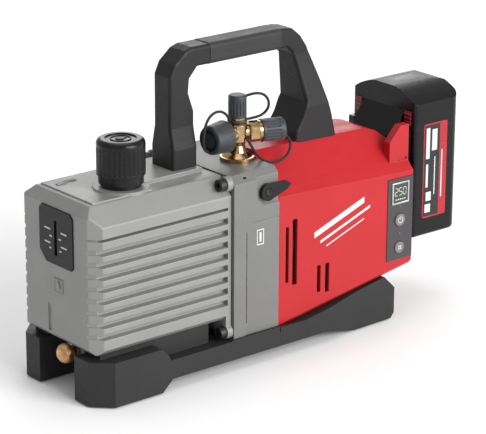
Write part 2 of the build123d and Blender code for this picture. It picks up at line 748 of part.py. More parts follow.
def intake_manifold():
    """Brass cross: seat flange, waisted body, one upright port and two side ports."""
    body = rod_z(15, *MANIFOLD, (FLANGE_TOP, 175.4))
    body += cone_z(13.2, 8.6, *MANIFOLD, (175.3, 179))
    body += cone_z(8.6, 6.4, *MANIFOLD, (178.9, 185))
    body += cone_z(6.4, 8.4, *MANIFOLD, (184.9, 189))
    body += rod_z(8.4, *MANIFOLD, (189, 203))
    body += cone_z(8.4, 6.4, *MANIFOLD, (203, 205.5))
    body += rod_z(6.4, *MANIFOLD, (205, 208))
    body += rod_z(8.0, *MANIFOLD, (208, 209.6))
    body += rod_z(6.0, *MANIFOLD, (209, 224))
    body += along(6.2, 0, 10)
    body += on_port(Pos(10, 0, 0) * Rot(0, 90, 0) * extrude(RegularPolygon(9.6, 6), 8), REAR_TURN)
    body += along(8.9, 18, 21) + along(8.0, 21, 37)
    body += along(7.0, -13, 0) + along(9.6, -15.6, -13) + along(8.6, -28.6, -15)
    bore = rod_z(4.0, *MANIFOLD, (171, 225)) + along(4.0, 0, 38) + along(4.0, -30, 0)
    return body - bore


def port_cap(radius, bore, length, rings, end_radius=None):
    """A soft cap over a port, drawn upwards about its middle and open at its foot."""
    cap = Cone(radius, end_radius, length) if end_radius else Cylinder(radius, length)
    cap = fillet(cap.edges().filter_by(GeomType.CIRCLE).sort_by(Axis.Z)[-1], min(2.4, radius / 4))
    cap -= Pos(0, 0, -3.0) * Cylinder(bore, length - 4.0)
    for k in range(rings):
        turn = 2 * pi * k / rings
        groove = Pos(radius * cos(turn), radius * sin(turn), -1.5) * Cylinder(0.7, length - 8)
        cap -= groove
    return cap


def tether(points, label):
    """A thin round strap: straight runs joined by arcs as large as the runs allow."""
    route = [Vector(at(MANIFOLD[0]) + x, MANIFOLD[1] + y, z) for x, y, z in points]
    radii = []
    for k in range(1, len(route) - 1):
        before, after = route[k] - route[k - 1], route[k + 1] - route[k]
        turn = radians(before.get_angle(after))
        radii.append(0.45 * min(before.length, after.length) / tan(turn / 2))
    path = FilletPolyline(*route, radius=radii)
    start = path @ 0
    section = Plane(origin=start, z_dir=path % 0) * Circle(TETHER_D / 2)
    tube = sweep(section, path=path)
    print(label, "radii", [round(r, 1) for r in radii], "length", round(path.length, 1))
    return tube


def side_route(pairs, turn):
    """Points (along a side port, sideways, height) turned into offsets from the manifold."""
    angle = radians(turn)
    return [
        (s * cos(angle) - w * sin(angle), s * sin(angle) + w * cos(angle), z) for s, w, z in pairs
    ]


# Strap routes: distance along the side ports from the manifold, distance sideways, height
TOP_ROUTE = [
    (8.5, 0, 227.6), (13.0, 0.2, 228.6), (18.6, 0.4, 228.8), (24.0, 0.5, 227.2), (27.8, 0.5, 223.2),
    (28.9, 0.3, 217.8), (26.8, 0.1, 212.6), (22.2, 0, 209.2), (16.2, -0.3, 207.6), (9.4, -0.3, 206.8),
]
FRONT_ROUTE = [
    (-8.6, 0.3, 206.8), (-11.4, -0.4, 211.6), (-16.0, -0.8, 216.2), (-22.2, -1.0, 219.2), (-29.0, -1.0, 219.4),
    (-35.2, -1.0, 216.6), (-39.6, -1.2, 211.2), (-41.8, -1.2, 204.4), (-42.4, -1.0, 197.4), (-41.8, -0.8, 192.2),
    (-39.4, -0.4, 187.4), (-35.5, 0, 185.0),
]
REAR_ROUTE = [
    (6.5, -7.8, 191.0), (9.0, -9.4, 186.4), (11.8, -10.2, 180.8), (15.8, -10.4, 175.6), (21.0, -10.2, 171.2),
    (27.2, -9.6, 168.8), (33.8, -8.6, 168.6), (40.4, -7.2, 170.8), (45.4, -5.2, 175.0), (47.8, -3.0, 180.4),
    (47.4, -1.0, 186.2), (43.7, 0, 190.4),
]


# ---------------------------------------------------------------- write every node


def build():
    """Makes every node of the pump."""
    keep("base_skid", base_skid())
    keep("skid_feet", *[foot_pad(s, y) for s, y in ((25, -42), (25, 42), (307, -38), (307, 38))])
    keep("skid_screws", *[skid_screw(s, y, 30, 54) for s, y in SKID_SCREWS[:2]])

    keep("oil_case", oil_case())
    gasket = plate_x(case_section(0.4), (CASE_END, FLANGE_START))
    gasket -= plate_x(case_section(CASE_WALL, FIN_DEPTH + CASE_WALL), (CASE_END - 1, FLANGE_START + 1))
    keep("case_gasket", gasket)
    keep("case_bolts", *[case_bolt(y, z) for y, z in bolt_places()])
    keep("sight_bezel", sight_bezel())
    window = block((1.6, 3.6), (SIGHT_Y - 7.8, SIGHT_Y + 7.8), (SIGHT_Z - 18.8, SIGHT_Z + 18.8))
    keep("sight_window", window)
    keep("oil_fill_neck", oil_fill_neck())
    keep("oil_cap", oil_cap())
    keep("exhaust_filter", rod_z(9.2, *FILL, (138, 174)) - rod_z(5, *FILL, (142, 175)))
    drain = rod_x(5.95, (12.2, 28), DRAIN_Y, DRAIN_Z)
    drain += Pos(at(9.4), DRAIN_Y, DRAIN_Z) * Rot(0, 90, 0) * extrude(RegularPolygon(7.2, 6), 3.4)
    drain -= rod_x(2.6, (9, 25), DRAIN_Y, DRAIN_Z)
    keep("drain_valve", drain)
    knob = rod_x(8.5, (-4.5, 8.2), DRAIN_Y, DRAIN_Z)
    knob = fillet(knob.edges().filter_by(GeomType.CIRCLE), 6.0)
    keep("drain_knob", knob + rod_x(2.5, (8, 22), DRAIN_Y, DRAIN_Z))

    keep("pump_flange", pump_flange())
    keep("shaft_seal", ring_x(13.95, SHAFT_R + RUN, (150.1, 157.9)))
    keep("main_stage", stage_ring(MAIN_STAGE))
    keep("second_stage", stage_ring(SECOND_STAGE))
    divider = ring_x(STAGE_R, SHAFT_R + RUN, (92, 100))
    keep("stage_divider", without_bolts(divider, (92, 100)))
    cover = rod_x(STAGE_R, (61, 70)) - rod_x(SHAFT_R + RUN, (64.5, 71))
    keep("pump_end_cover", without_bolts(cover, (61, 70)))
    keep("pump_bolts", *[pump_bolt(y, z) for y, z in pump_bolt_places()])
    keep("pump_rotor", pump_rotor())
    keep("near_vanes", vane(MAIN_STAGE, -1), vane(SECOND_STAGE, -1))
    keep("far_vanes", vane(MAIN_STAGE, 1), vane(SECOND_STAGE, 1))

    coupling = rod_x(15, (166, 194)) - rod_x(SHAFT_R + 0.02, (160, 176.1))
    keep("shaft_coupling", coupling - rod_x(MOTOR_SHAFT_R + 0.02, (176, 200)))
    keep("motor_shaft", rod_x(MOTOR_SHAFT_R, (176.6, 306)))
    keep("motor_rotor", ring_x(23.4, MOTOR_SHAFT_R + 0.02, (236, 280)))
    keep("cooling_fan", fan())
    front_bearing = ring_x(13, MOTOR_SHAFT_R + RUN, (220, 227))
    keep("motor_bearings", front_bearing, ring_x(13, MOTOR_SHAFT_R + RUN, (292, 299)))
    keep("motor_brackets", bracket((218.5, 227), (220, 228)), bracket((292, 300.5), (291, 299)))
    keep("motor_stator", stator())
    keep("stator_windings", *[winding(k) for k in range(9)])

    keep("motor_housing_near", housing_half(-1))
    keep("motor_housing_far", housing_half(1))
    keep("housing_screws", *[housing_screw(s, z) for s, z in HOUSING_POSTS])
    panel = block((322.2, 352.5), (-53.8, -51.2), (56.7, 133))
    panel -= rod_y(6.0, 336.8, (-60, -50), POWER_Z) + rod_y(5.6, 336.8, (-60, -50), MODE_Z)
    panel -= rod_y(1.5, 336.8, (-60, -50), 107) + rod_y(1.5, 336.8, (-60, -50), 81)
    panel -= block((328, 346), (-60, -52.6), (110.4, 128.4))
    keep("control_panel", panel)
    keep("display_window", block((328.2, 345.8), (-54.0, -52.6), (110.6, 128.2)))
    button = rod_y(5.7, 336.8, (-54.9, -49.6), POWER_Z)
    keep("power_button", button + rod_y(6.9, 336.8, (-51.0, -49.6), POWER_Z))
    button = rod_y(5.3, 336.8, (-54.7, -49.6), MODE_Z)
    keep("mode_button", button + rod_y(6.5, 336.8, (-51.0, -49.6), MODE_Z))
    keep("control_board", block((321, 348), (-47.4, -45.8), (62, 126)))

    socket = block((331.5, 350), (-30, 30), (116, 145)) + block((340.5, 353.8), (-29, 29), (85, 149))
    socket += block((352.7, 357), (-24, 24), (86, 148)) + block((355.4, 357), (-27, 27), (86, 148))
    for y in BLADE_YS:
        socket -= block((BLADE[0] - 0.1, BLADE[1] + 0.1), (y - 0.55, y + 0.55), (136, 150))
    keep("battery_socket", socket)
    keep("terminal_blades", *[block(BLADE, (y - 0.5, y + 0.5), (136.1, 160)) for y in BLADE_YS])

    keep("battery_case", battery_case())
    keep("battery_cover", battery_cover())
    keep("battery_cells", *battery_cells())
    keep("battery_latch_near", battery_latch(-1))
    keep("battery_latch_far", battery_latch(1))
    keep("gauge_button", rod_x(4.0, (416.8, 420.9), 0, 150) + rod_x(5.0, (416.2, 417.8), 0, 150))

    keep("handle_frame", handle_frame())
    keep("handle_grip", handle_grip())
    front_screws = [handle_screw(124, y, 165.9, 190) for y in (-8, 8)]
    rear_screws = [handle_screw(266, y, 171.6, 192) for y in (-8, 8)]
    keep("handle_screws", *front_screws, *rear_screws)

    keep("intake_manifold", intake_manifold())
    top_cap = Pos(at(MANIFOLD[0]), MANIFOLD[1], 219.6) * port_cap(7.9, 6.2, 19.6, 16)
    keep("top_port_cap", top_cap)
    rear_cap = Pos(31.7, 0, 0) * Rot(0, 90, 0) * port_cap(10.0, 8.2, 21.0, 18)
    keep("rear_port_cap", on_port(rear_cap, REAR_TURN))
    front_cap = Pos(-25.2, 0, 0) * Rot(0, -90, 0) * port_cap(14.2, 8.9, 18.6, 24, 12.4)
    keep("front_port_cap", on_port(front_cap, FRONT_TURN))
    keep("top_cap_tether", tether(side_route(TOP_ROUTE, REAR_TURN), "top_cap_tether"))
    keep("front_cap_tether", tether(side_route(FRONT_ROUTE, FRONT_TURN), "front_cap_tether"))
    keep("rear_cap_tether", tether(side_route(REAR_ROUTE, REAR_TURN), "rear_cap_tether"))

    keep("valve_ball", valve_ball())
    keep("valve_stem", valve_stem())
    keep("valve_lever", valve_lever())


build()
os.makedirs("parts", exist_ok=True)
for name, shape in parts.items():
    export_step(shape, f"parts/{name}.step")
print(len(parts), "nodes")
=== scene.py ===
"""Looks of a cordless vacuum pump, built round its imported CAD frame."""
import json
import logging
import math
from dataclasses import dataclass, field
from enum import Enum
from typing import Callable, Sequence

import bpy
from mathutils import Matrix, Vector


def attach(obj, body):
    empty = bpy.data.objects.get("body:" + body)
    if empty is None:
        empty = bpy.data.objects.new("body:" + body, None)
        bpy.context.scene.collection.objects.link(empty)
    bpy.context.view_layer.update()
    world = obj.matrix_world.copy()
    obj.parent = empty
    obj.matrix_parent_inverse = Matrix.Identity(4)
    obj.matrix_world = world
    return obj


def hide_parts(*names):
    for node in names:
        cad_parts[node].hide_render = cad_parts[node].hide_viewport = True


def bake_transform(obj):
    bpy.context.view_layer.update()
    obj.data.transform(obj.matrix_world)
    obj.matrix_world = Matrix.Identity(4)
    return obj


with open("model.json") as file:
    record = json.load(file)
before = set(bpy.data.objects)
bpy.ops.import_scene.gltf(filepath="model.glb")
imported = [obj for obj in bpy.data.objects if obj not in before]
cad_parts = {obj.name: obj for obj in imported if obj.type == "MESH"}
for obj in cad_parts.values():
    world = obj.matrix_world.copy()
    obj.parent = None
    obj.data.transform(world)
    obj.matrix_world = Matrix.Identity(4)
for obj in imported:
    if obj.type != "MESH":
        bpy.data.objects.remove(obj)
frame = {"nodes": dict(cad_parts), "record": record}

LOG = logging.getLogger("vacuum_pump")
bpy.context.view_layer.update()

MM = 0.001
FRONT = -208.0  # X in millimetres of the oil case's front face
HIDDEN_SEAT = 0.15  # millimetres that an applied piece sinks into the surface under it
FIGURE_FRONT = -54.12  # Y of the display figures' faces
FIGURE_SEAT = -53.95  # Y of their backs, inside the display's window
BUTTON_STATION = 336.8  # station of both buttons and both lamps of the panel
POWER_Z = 94.0
MODE_Z = 68.0
LAMP_ZS = (107.0, 81.0)

REAR_TURN = -20.0  # degrees of the rear side port about the upright
FRONT_TURN = 7.0  # degrees of the front side port about the upright

Corner = tuple[float, float, float]
Colour = tuple[float, float, float, float]


class Side(Enum):
    """The two long sides of the pump."""

    NEAR = -1
    FAR = 1


class Axis(Enum):
    """Directions that a rod can point in, with the turn that brings it there from Z."""

    X = (0.0, math.pi / 2, 0.0)
    Y = (math.pi / 2, 0.0, 0.0)
    Z = (0.0, 0.0, 0.0)


# ---------------------------------------------------------------- modelling by hand


def place(station: float, y: float, z: float) -> Vector:
    """Point in metres from a station behind the oil case's front face, Y and Z in millimetres."""
    return Vector(((FRONT + station) * MM, y * MM, z * MM))


def clear_selection() -> None:
    """Leaves nothing selected and no object active."""
    bpy.ops.object.select_all(action="DESELECT")
    bpy.context.view_layer.objects.active = None


def take(obj: bpy.types.Object) -> None:
    """Makes one object the only selected and active one."""
    clear_selection()
    obj.select_set(True)
    bpy.context.view_layer.objects.active = obj


def settle(obj: bpy.types.Object) -> None:
    """Moves an object's place, turn and scale into its mesh."""
    take(obj)
    bpy.ops.object.transform_apply(location=True, rotation=True, scale=True)


def add_block(name: str, low: Vector, high: Vector) -> bpy.types.Object:
    """Adds a block between two corners.

    Args:
        name: Name of the piece.
        low: Lowest corner in metres.
        high: Highest corner in metres.

    Returns:
        The new object, with its place in its mesh.
    """
    clear_selection()
    bpy.ops.mesh.primitive_cube_add(size=1.0, location=(low + high) / 2)
    block = bpy.context.object
    block.scale = high - low
    block.name = block.data.name = name
    settle(block)
    return block


def add_rod(
    name: str, centre: Vector, radius: float, length: float, axis: Axis, sides: int = 40
) -> bpy.types.Object:
    """Adds a rod about a centre.

    Args:
        name: Name of the piece.
        centre: Middle of the rod in metres.
        radius: Radius in millimetres.
        length: Length in millimetres.
        axis: Direction of the rod.
        sides: Number of flats round it.

    Returns:
        The new object, with its place in its mesh.
    """
    clear_selection()
    bpy.ops.mesh.primitive_cylinder_add(
        vertices=sides, radius=radius * MM, depth=length * MM, location=centre, rotation=axis.value
    )
    rod = bpy.context.object
    rod.name = rod.data.name = name
    settle(rod)
    return rod


def pick_faces(obj: bpy.types.Object, wanted: Callable[[bpy.types.MeshPolygon], bool]) -> None:
    """Selects the faces that pass a test and enters face mode.

    Args:
        obj: Object to edit.
        wanted: Test of a face.
    """
    take(obj)
    bpy.ops.object.mode_set(mode="EDIT")
    bpy.ops.mesh.select_mode(type="FACE")
    bpy.ops.mesh.select_all(action="DESELECT")
    bpy.ops.object.mode_set(mode="OBJECT")
    for polygon in obj.data.polygons:
        polygon.select = wanted(polygon)
    bpy.ops.object.mode_set(mode="EDIT")


def facing(direction: Vector, limit: float = 0.9) -> Callable[[bpy.types.MeshPolygon], bool]:
    """Returns a test for faces whose normal is near a direction."""
    return lambda polygon: polygon.normal.dot(direction) > limit


def back_to_objects() -> None:
    """Leaves edit mode."""
    bpy.ops.object.mode_set(mode="OBJECT")


def push_out(
    obj: bpy.types.Object, direction: Vector, inset: float, step: float, again: bool = False
) -> None:
    """Insets the faces that look one way and moves them along it, to make a step, a dish or a dome.

    Args:
        obj: Object to shape.
        direction: Way that the faces look.
        inset: Width of the new border in millimetres.
        step: Distance to move the inner faces in millimetres, below zero to sink them.
        again: True to round the step off with a second, smaller one.
    """
    pick_faces(obj, facing(direction))
    bpy.ops.mesh.inset(thickness=inset * MM, depth=0.0)
    bpy.ops.mesh.extrude_region_move(TRANSFORM_OT_translate={"value": direction * step * MM})
    if again:
        bpy.ops.mesh.inset(thickness=inset * MM * 0.6, depth=0.0)
        bpy.ops.transform.translate(value=direction * step * MM * 0.35)
    back_to_objects()


def soften(obj: bpy.types.Object, width: float, segments: int = 2, angle: float = 35.0) -> None:
    """Rounds the hard edges of a piece and shades it smooth.

    Args:
        obj: Piece to finish.
        width: Width of the rounding in millimetres.
        segments: Steps across the rounding.
        angle: Sharpest angle in degrees that stays as it is.
    """
    take(obj)
    bevel = obj.modifiers.new("soft edges", "BEVEL")
    bevel.width = width * MM
    bevel.segments = segments
    bevel.limit_method = "ANGLE"
    bevel.angle_limit = math.radians(angle)
    bpy.ops.object.modifier_apply(modifier=bevel.name)
    bpy.ops.object.shade_smooth_by_angle(angle=math.radians(40))


def join(name: str, members: Sequence[bpy.types.Object]) -> bpy.types.Object:
    """Joins separate pieces into one object."""
    clear_selection()
    for member in members:
        member.select_set(True)
    bpy.context.view_layer.objects.active = members[0]
    bpy.ops.object.join()
    members[0].name = members[0].data.name = name
    return members[0]


def copied(obj: bpy.types.Object, name: str, shift: Vector, mirror_y: bool = False) -> bpy.types.Object:
    """Copies a piece with its own mesh and moves the copy.

    Args:
        obj: Piece to copy.
        name: Name of the copy.
        shift: Distance to move it in metres.
        mirror_y: True to mirror it about Y = 0 first.

    Returns:
        The copy, with its place in its mesh.
    """
    twin = obj.copy()
    twin.data = obj.data.copy()
    twin.name = twin.data.name = name
    bpy.context.scene.collection.objects.link(twin)
    twin.location = shift
    if mirror_y:
        twin.scale = (1, -1, 1)
    settle(twin)
    if mirror_y:
        take(twin)
        bpy.ops.object.mode_set(mode="EDIT")
        bpy.ops.mesh.select_all(action="SELECT")
        bpy.ops.mesh.normals_make_consistent(inside=False)
        back_to_objects()
    return twin


def ring_plate(name: str, low: Vector, high: Vector, direction: Vector, border: float) -> bpy.types.Object:
    """Makes an open rectangular frame from a block.

    Args:
        name: Name of the piece.
        low: Lowest corner in metres.
        high: Highest corner in metres.
        direction: Way that the frame faces.
        border: Width of the frame's sides in millimetres.

    Returns:
        The frame.
    """
    block = add_block(name, low, high)
    pick_faces(block, lambda polygon: abs(polygon.normal.dot(direction)) > 0.9)
    bpy.ops.mesh.inset(thickness=border * MM, depth=0.0)
    bpy.ops.mesh.bridge_edge_loops()
    back_to_objects()
    return block


def dress(obj: bpy.types.Object, material: bpy.types.Material, body: str) -> bpy.types.Object:
    """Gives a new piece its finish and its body.

    Args:
        obj: Piece to dress.
        material: Finish to wear.
        body: Body of the frame that it moves with.

    Returns:
        The piece.
    """
    obj.data.materials.clear()
    obj.data.materials.append(material)
    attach(obj, body)
    return obj


# ---------------------------------------------------------------- finishes


def lay_out(tree: bpy.types.NodeTree, groups: dict[str, Sequence[bpy.types.Node]]) -> None:
    """Frames a material's nodes by effect and spreads them out, one row for each effect.

    Args:
        tree: Node tree of the material.
        groups: Nodes of each effect, in the order in which they work.
    """
    for row, (effect, members) in enumerate(groups.items()):
        box = tree.nodes.new("NodeFrame")
        box.label = effect
        for column, node in enumerate(members):
            node.parent = box
            node.location = (column * 240 - 1100, 600 - row * 360)


def blank_material(name: str) -> bpy.types.Material:
    """Adds a material with an empty node tree."""
    material = bpy.data.materials.new(name)
    material.use_nodes = True
    material.node_tree.nodes.clear()
    return material


@dataclass(frozen=True)
class Moulding:
    """Moulded plastic or rubber with a fine grain, worn edges and handling marks."""

    name: str
    base: Colour
    shade: Colour
    worn: Colour
    roughness: float = 0.45
    grain_per_metre: float = 1500.0
    grain_depth: float = 0.00006
    wear: float = 0.35
    sheen: float = 0.0
    specular: float = 0.5
    edge_radius: float = 0.0007

    def material(self) -> bpy.types.Material:
        """Writes the finish as a material."""
        made = blank_material(self.name)
        tree = made.node_tree
        nodes, links = tree.nodes, tree.links

        coords = nodes.new("ShaderNodeTexCoord")
        coords.label = "Place on the moulding"
        flow = nodes.new("ShaderNodeTexNoise")
        flow.label = "Slow drift of the moulded colour"
        flow.inputs["Scale"].default_value = 22.0
        flow.inputs["Detail"].default_value = 4.0
        tint = nodes.new("ShaderNodeMix")
        tint.label = "Base colour and its darker drift"
        tint.data_type = "RGBA"
        tint.inputs[6].default_value = self.base
        tint.inputs[7].default_value = self.shade

        rounded = nodes.new("ShaderNodeBevel")
        rounded.label = "Softly radiused mould edges"
        rounded.samples = 6
        rounded.inputs["Radius"].default_value = self.edge_radius
        surface = nodes.new("ShaderNodeNewGeometry")
        surface.label = "True face direction"
        corner = nodes.new("ShaderNodeVectorMath")
        corner.label = "How far the edge turns"
        corner.operation = "DOT_PRODUCT"
        edge = nodes.new("ShaderNodeMapRange")
        edge.label = "Edges only"
        edge.inputs["From Min"].default_value = 0.995
        edge.inputs["From Max"].default_value = 0.86
        patches = nodes.new("ShaderNodeTexNoise")
        patches.label = "Broken rubbing along edges"
        patches.inputs["Scale"].default_value = 140.0
        patches.inputs["Detail"].default_value = 6.0
        rubbed = nodes.new("ShaderNodeMath")
        rubbed.label = "Rubbed share of the edge"
        rubbed.operation = "MULTIPLY"
        amount = nodes.new("ShaderNodeMath")
        amount.label = "How worn it is"
        amount.operation = "MULTIPLY"
        amount.inputs[1].default_value = self.wear
        worn = nodes.new("ShaderNodeMix")
        worn.label = "Paler rubbed edges"
        worn.data_type = "RGBA"
        worn.inputs[7].default_value = self.worn

        stretch = nodes.new("ShaderNodeMapping")
        stretch.label = "Marks drawn out lengthways"
        stretch.inputs["Scale"].default_value = (1.0, 3.0, 7.0)
        marks = nodes.new("ShaderNodeTexNoise")
        marks.label = "Handling marks"
        marks.inputs["Scale"].default_value = 48.0
        marks.inputs["Detail"].default_value = 8.0
        marks.inputs["Roughness"].default_value = 0.62
        gloss = nodes.new("ShaderNodeMapRange")
        gloss.label = "Roughness between polished and dull spots"
        gloss.inputs["From Min"].default_value = 0.3
        gloss.inputs["From Max"].default_value = 0.7
        gloss.inputs["To Min"].default_value = self.roughness - 0.09
        gloss.inputs["To Max"].default_value = self.roughness + 0.10

        grain = nodes.new("ShaderNodeTexNoise")
        grain.label = "Spark-eroded grain"
        grain.inputs["Scale"].default_value = self.grain_per_metre
        grain.inputs["Detail"].default_value = 3.0
        pores = nodes.new("ShaderNodeTexVoronoi")
        pores.label = "Tiny pits in the grain"
        pores.inputs["Scale"].default_value = self.grain_per_metre * 0.7
        relief = nodes.new("ShaderNodeMath")
        relief.label = "Grain with pits"
        relief.operation = "ADD"
        bump = nodes.new("ShaderNodeBump")
        bump.label = "Grain relief"
        bump.inputs["Strength"].default_value = 0.35
        bump.inputs["Distance"].default_value = self.grain_depth

        shader = nodes.new("ShaderNodeBsdfPrincipled")
        shader.label = "Moulding"
        shader.inputs["Specular IOR Level"].default_value = self.specular
        shader.inputs["Sheen Weight"].default_value = self.sheen
        output = nodes.new("ShaderNodeOutputMaterial")
        output.label = "Surface"

        links.new(coords.outputs["Object"], flow.inputs["Vector"])
        links.new(flow.outputs["Fac"], tint.inputs[0])
        links.new(rounded.outputs["Normal"], corner.inputs[0])
        links.new(surface.outputs["Normal"], corner.inputs[1])
        links.new(corner.outputs["Value"], edge.inputs["Value"])
        links.new(coords.outputs["Object"], patches.inputs["Vector"])
        links.new(edge.outputs["Result"], rubbed.inputs[0])
        links.new(patches.outputs["Fac"], rubbed.inputs[1])
        links.new(rubbed.outputs["Value"], amount.inputs[0])
        links.new(amount.outputs["Value"], worn.inputs[0])
        links.new(tint.outputs[2], worn.inputs[6])
        links.new(coords.outputs["Object"], stretch.inputs["Vector"])
        links.new(stretch.outputs["Vector"], marks.inputs["Vector"])
        links.new(marks.outputs["Fac"], gloss.inputs["Value"])
        links.new(coords.outputs["Object"], grain.inputs["Vector"])
        links.new(coords.outputs["Object"], pores.inputs["Vector"])
        links.new(grain.outputs["Fac"], relief.inputs[0])
        links.new(pores.outputs["Distance"], relief.inputs[1])
        links.new(relief.outputs["Value"], bump.inputs["Height"])
        links.new(rounded.outputs["Normal"], bump.inputs["Normal"])
        links.new(worn.outputs[2], shader.inputs["Base Color"])
        links.new(gloss.outputs["Result"], shader.inputs["Roughness"])
        links.new(bump.outputs["Normal"], shader.inputs["Normal"])
        links.new(shader.outputs["BSDF"], output.inputs["Surface"])
        lay_out(tree, {
            "Moulded colour": (coords, flow, tint),
            "Worn edges": (rounded, surface, corner, edge, patches, rubbed, amount, worn),
            "Handling marks": (stretch, marks, gloss),
            "Grain": (grain, pores, relief, bump),
            "Result": (shader, output),
        })
        return made


@dataclass(frozen=True)
class CastPaint:
    """Satin paint over a sand casting: orange peel and bright chipped edges."""

    name: str
    base: Colour
    shade: Colour
    bare: Colour
    roughness: float = 0.42

    def material(self) -> bpy.types.Material:
        """Writes the finish as a material."""
        made = blank_material(self.name)
        tree = made.node_tree
        nodes, links = tree.nodes, tree.links

        coords = nodes.new("ShaderNodeTexCoord")
        coords.label = "Place on the casting"
        cloud = nodes.new("ShaderNodeTexNoise")
        cloud.label = "Uneven paint film"
        cloud.inputs["Scale"].default_value = 30.0
        cloud.inputs["Detail"].default_value = 5.0
        film = nodes.new("ShaderNodeMix")
        film.label = "Thick and thin paint"
        film.data_type = "RGBA"
        film.inputs[6].default_value = self.base
        film.inputs[7].default_value = self.shade
        specks = nodes.new("ShaderNodeTexNoise")
        specks.label = "Metal flake in the paint"
        specks.inputs["Scale"].default_value = 2600.0
        specks.inputs["Detail"].default_value = 2.0
        flake = nodes.new("ShaderNodeMapRange")
        flake.label = "A few bright flakes"
        flake.inputs["From Min"].default_value = 0.55
        flake.inputs["From Max"].default_value = 0.80
        flake.inputs["To Max"].default_value = 0.35
        sparkle = nodes.new("ShaderNodeMix")
        sparkle.label = "Paint with flakes"
        sparkle.data_type = "RGBA"
        sparkle.inputs[7].default_value = self.bare

        rounded = nodes.new("ShaderNodeBevel")
        rounded.label = "Cast edge radius"
        rounded.samples = 6
        rounded.inputs["Radius"].default_value = 0.0010
        surface = nodes.new("ShaderNodeNewGeometry")
        surface.label = "True face direction"
        corner = nodes.new("ShaderNodeVectorMath")
        corner.label = "How far the edge turns"
        corner.operation = "DOT_PRODUCT"
        edge = nodes.new("ShaderNodeMapRange")
        edge.label = "Edges only"
        edge.inputs["From Min"].default_value = 0.98
        edge.inputs["From Max"].default_value = 0.82
        chips = nodes.new("ShaderNodeTexNoise")
        chips.label = "Chips along the edges"
        chips.inputs["Scale"].default_value = 210.0
        chips.inputs["Detail"].default_value = 7.0
        chipped = nodes.new("ShaderNodeMath")
        chipped.label = "Chipped share of the edge"
        chipped.operation = "MULTIPLY"
        light_wear = nodes.new("ShaderNodeMath")
        light_wear.label = "Light wear"
        light_wear.operation = "MULTIPLY"
        light_wear.inputs[1].default_value = 0.85
        painted = nodes.new("ShaderNodeMix")
        painted.label = "Paint worn to bright metal"
        painted.data_type = "RGBA"
        painted.inputs[7].default_value = self.bare

        gloss = nodes.new("ShaderNodeMapRange")
        gloss.label = "Duller where the film is thin"
        gloss.inputs["To Min"].default_value = self.roughness - 0.08
        gloss.inputs["To Max"].default_value = self.roughness + 0.14
        peel = nodes.new("ShaderNodeTexNoise")
        peel.label = "Orange peel"
        peel.inputs["Scale"].default_value = 620.0
        peel.inputs["Detail"].default_value = 2.0
        sand = nodes.new("ShaderNodeTexVoronoi")
        sand.label = "Sand of the mould"
        sand.inputs["Scale"].default_value = 1300.0
        relief = nodes.new("ShaderNodeMath")
        relief.label = "Peel over sand"
        relief.operation = "ADD"
        bump = nodes.new("ShaderNodeBump")
        bump.label = "Casting relief"
        bump.inputs["Strength"].default_value = 0.45
        bump.inputs["Distance"].default_value = 0.00012

        shader = nodes.new("ShaderNodeBsdfPrincipled")
        shader.label = "Painted casting"
        shader.inputs["Metallic"].default_value = 0.15
        shader.inputs["Coat Weight"].default_value = 0.12
        shader.inputs["Coat Roughness"].default_value = 0.35
        output = nodes.new("ShaderNodeOutputMaterial")
        output.label = "Surface"

        links.new(coords.outputs["Object"], cloud.inputs["Vector"])
        links.new(cloud.outputs["Fac"], film.inputs[0])
        links.new(coords.outputs["Object"], specks.inputs["Vector"])
        links.new(specks.outputs["Fac"], flake.inputs["Value"])
        links.new(flake.outputs["Result"], sparkle.inputs[0])
        links.new(film.outputs[2], sparkle.inputs[6])
        links.new(rounded.outputs["Normal"], corner.inputs[0])
        links.new(surface.outputs["Normal"], corner.inputs[1])
        links.new(corner.outputs["Value"], edge.inputs["Value"])
        links.new(coords.outputs["Object"], chips.inputs["Vector"])
        links.new(edge.outputs["Result"], chipped.inputs[0])
        links.new(chips.outputs["Fac"], chipped.inputs[1])
        links.new(chipped.outputs["Value"], light_wear.inputs[0])
        links.new(light_wear.outputs["Value"], painted.inputs[0])
        links.new(sparkle.outputs[2], painted.inputs[6])
        links.new(cloud.outputs["Fac"], gloss.inputs["Value"])
        links.new(coords.outputs["Object"], peel.inputs["Vector"])
        links.new(coords.outputs["Object"], sand.inputs["Vector"])
        links.new(peel.outputs["Fac"], relief.inputs[0])
        links.new(sand.outputs["Distance"], relief.inputs[1])
        links.new(relief.outputs["Value"], bump.inputs["Height"])
        links.new(rounded.outputs["Normal"], bump.inputs["Normal"])
        links.new(painted.outputs[2], shader.inputs["Base Color"])
        links.new(gloss.outputs["Result"], shader.inputs["Roughness"])
        links.new(bump.outputs["Normal"], shader.inputs["Normal"])
        links.new(shader.outputs["BSDF"], output.inputs["Surface"])
        lay_out(tree, {
            "Paint film": (coords, cloud, film, specks, flake, sparkle),
            "Chipped edges": (rounded, surface, corner, edge, chips, chipped, light_wear, painted),
            "Gloss": (gloss,),
            "Casting relief": (peel, sand, relief, bump),
            "Result": (shader, output),
        })
        return made


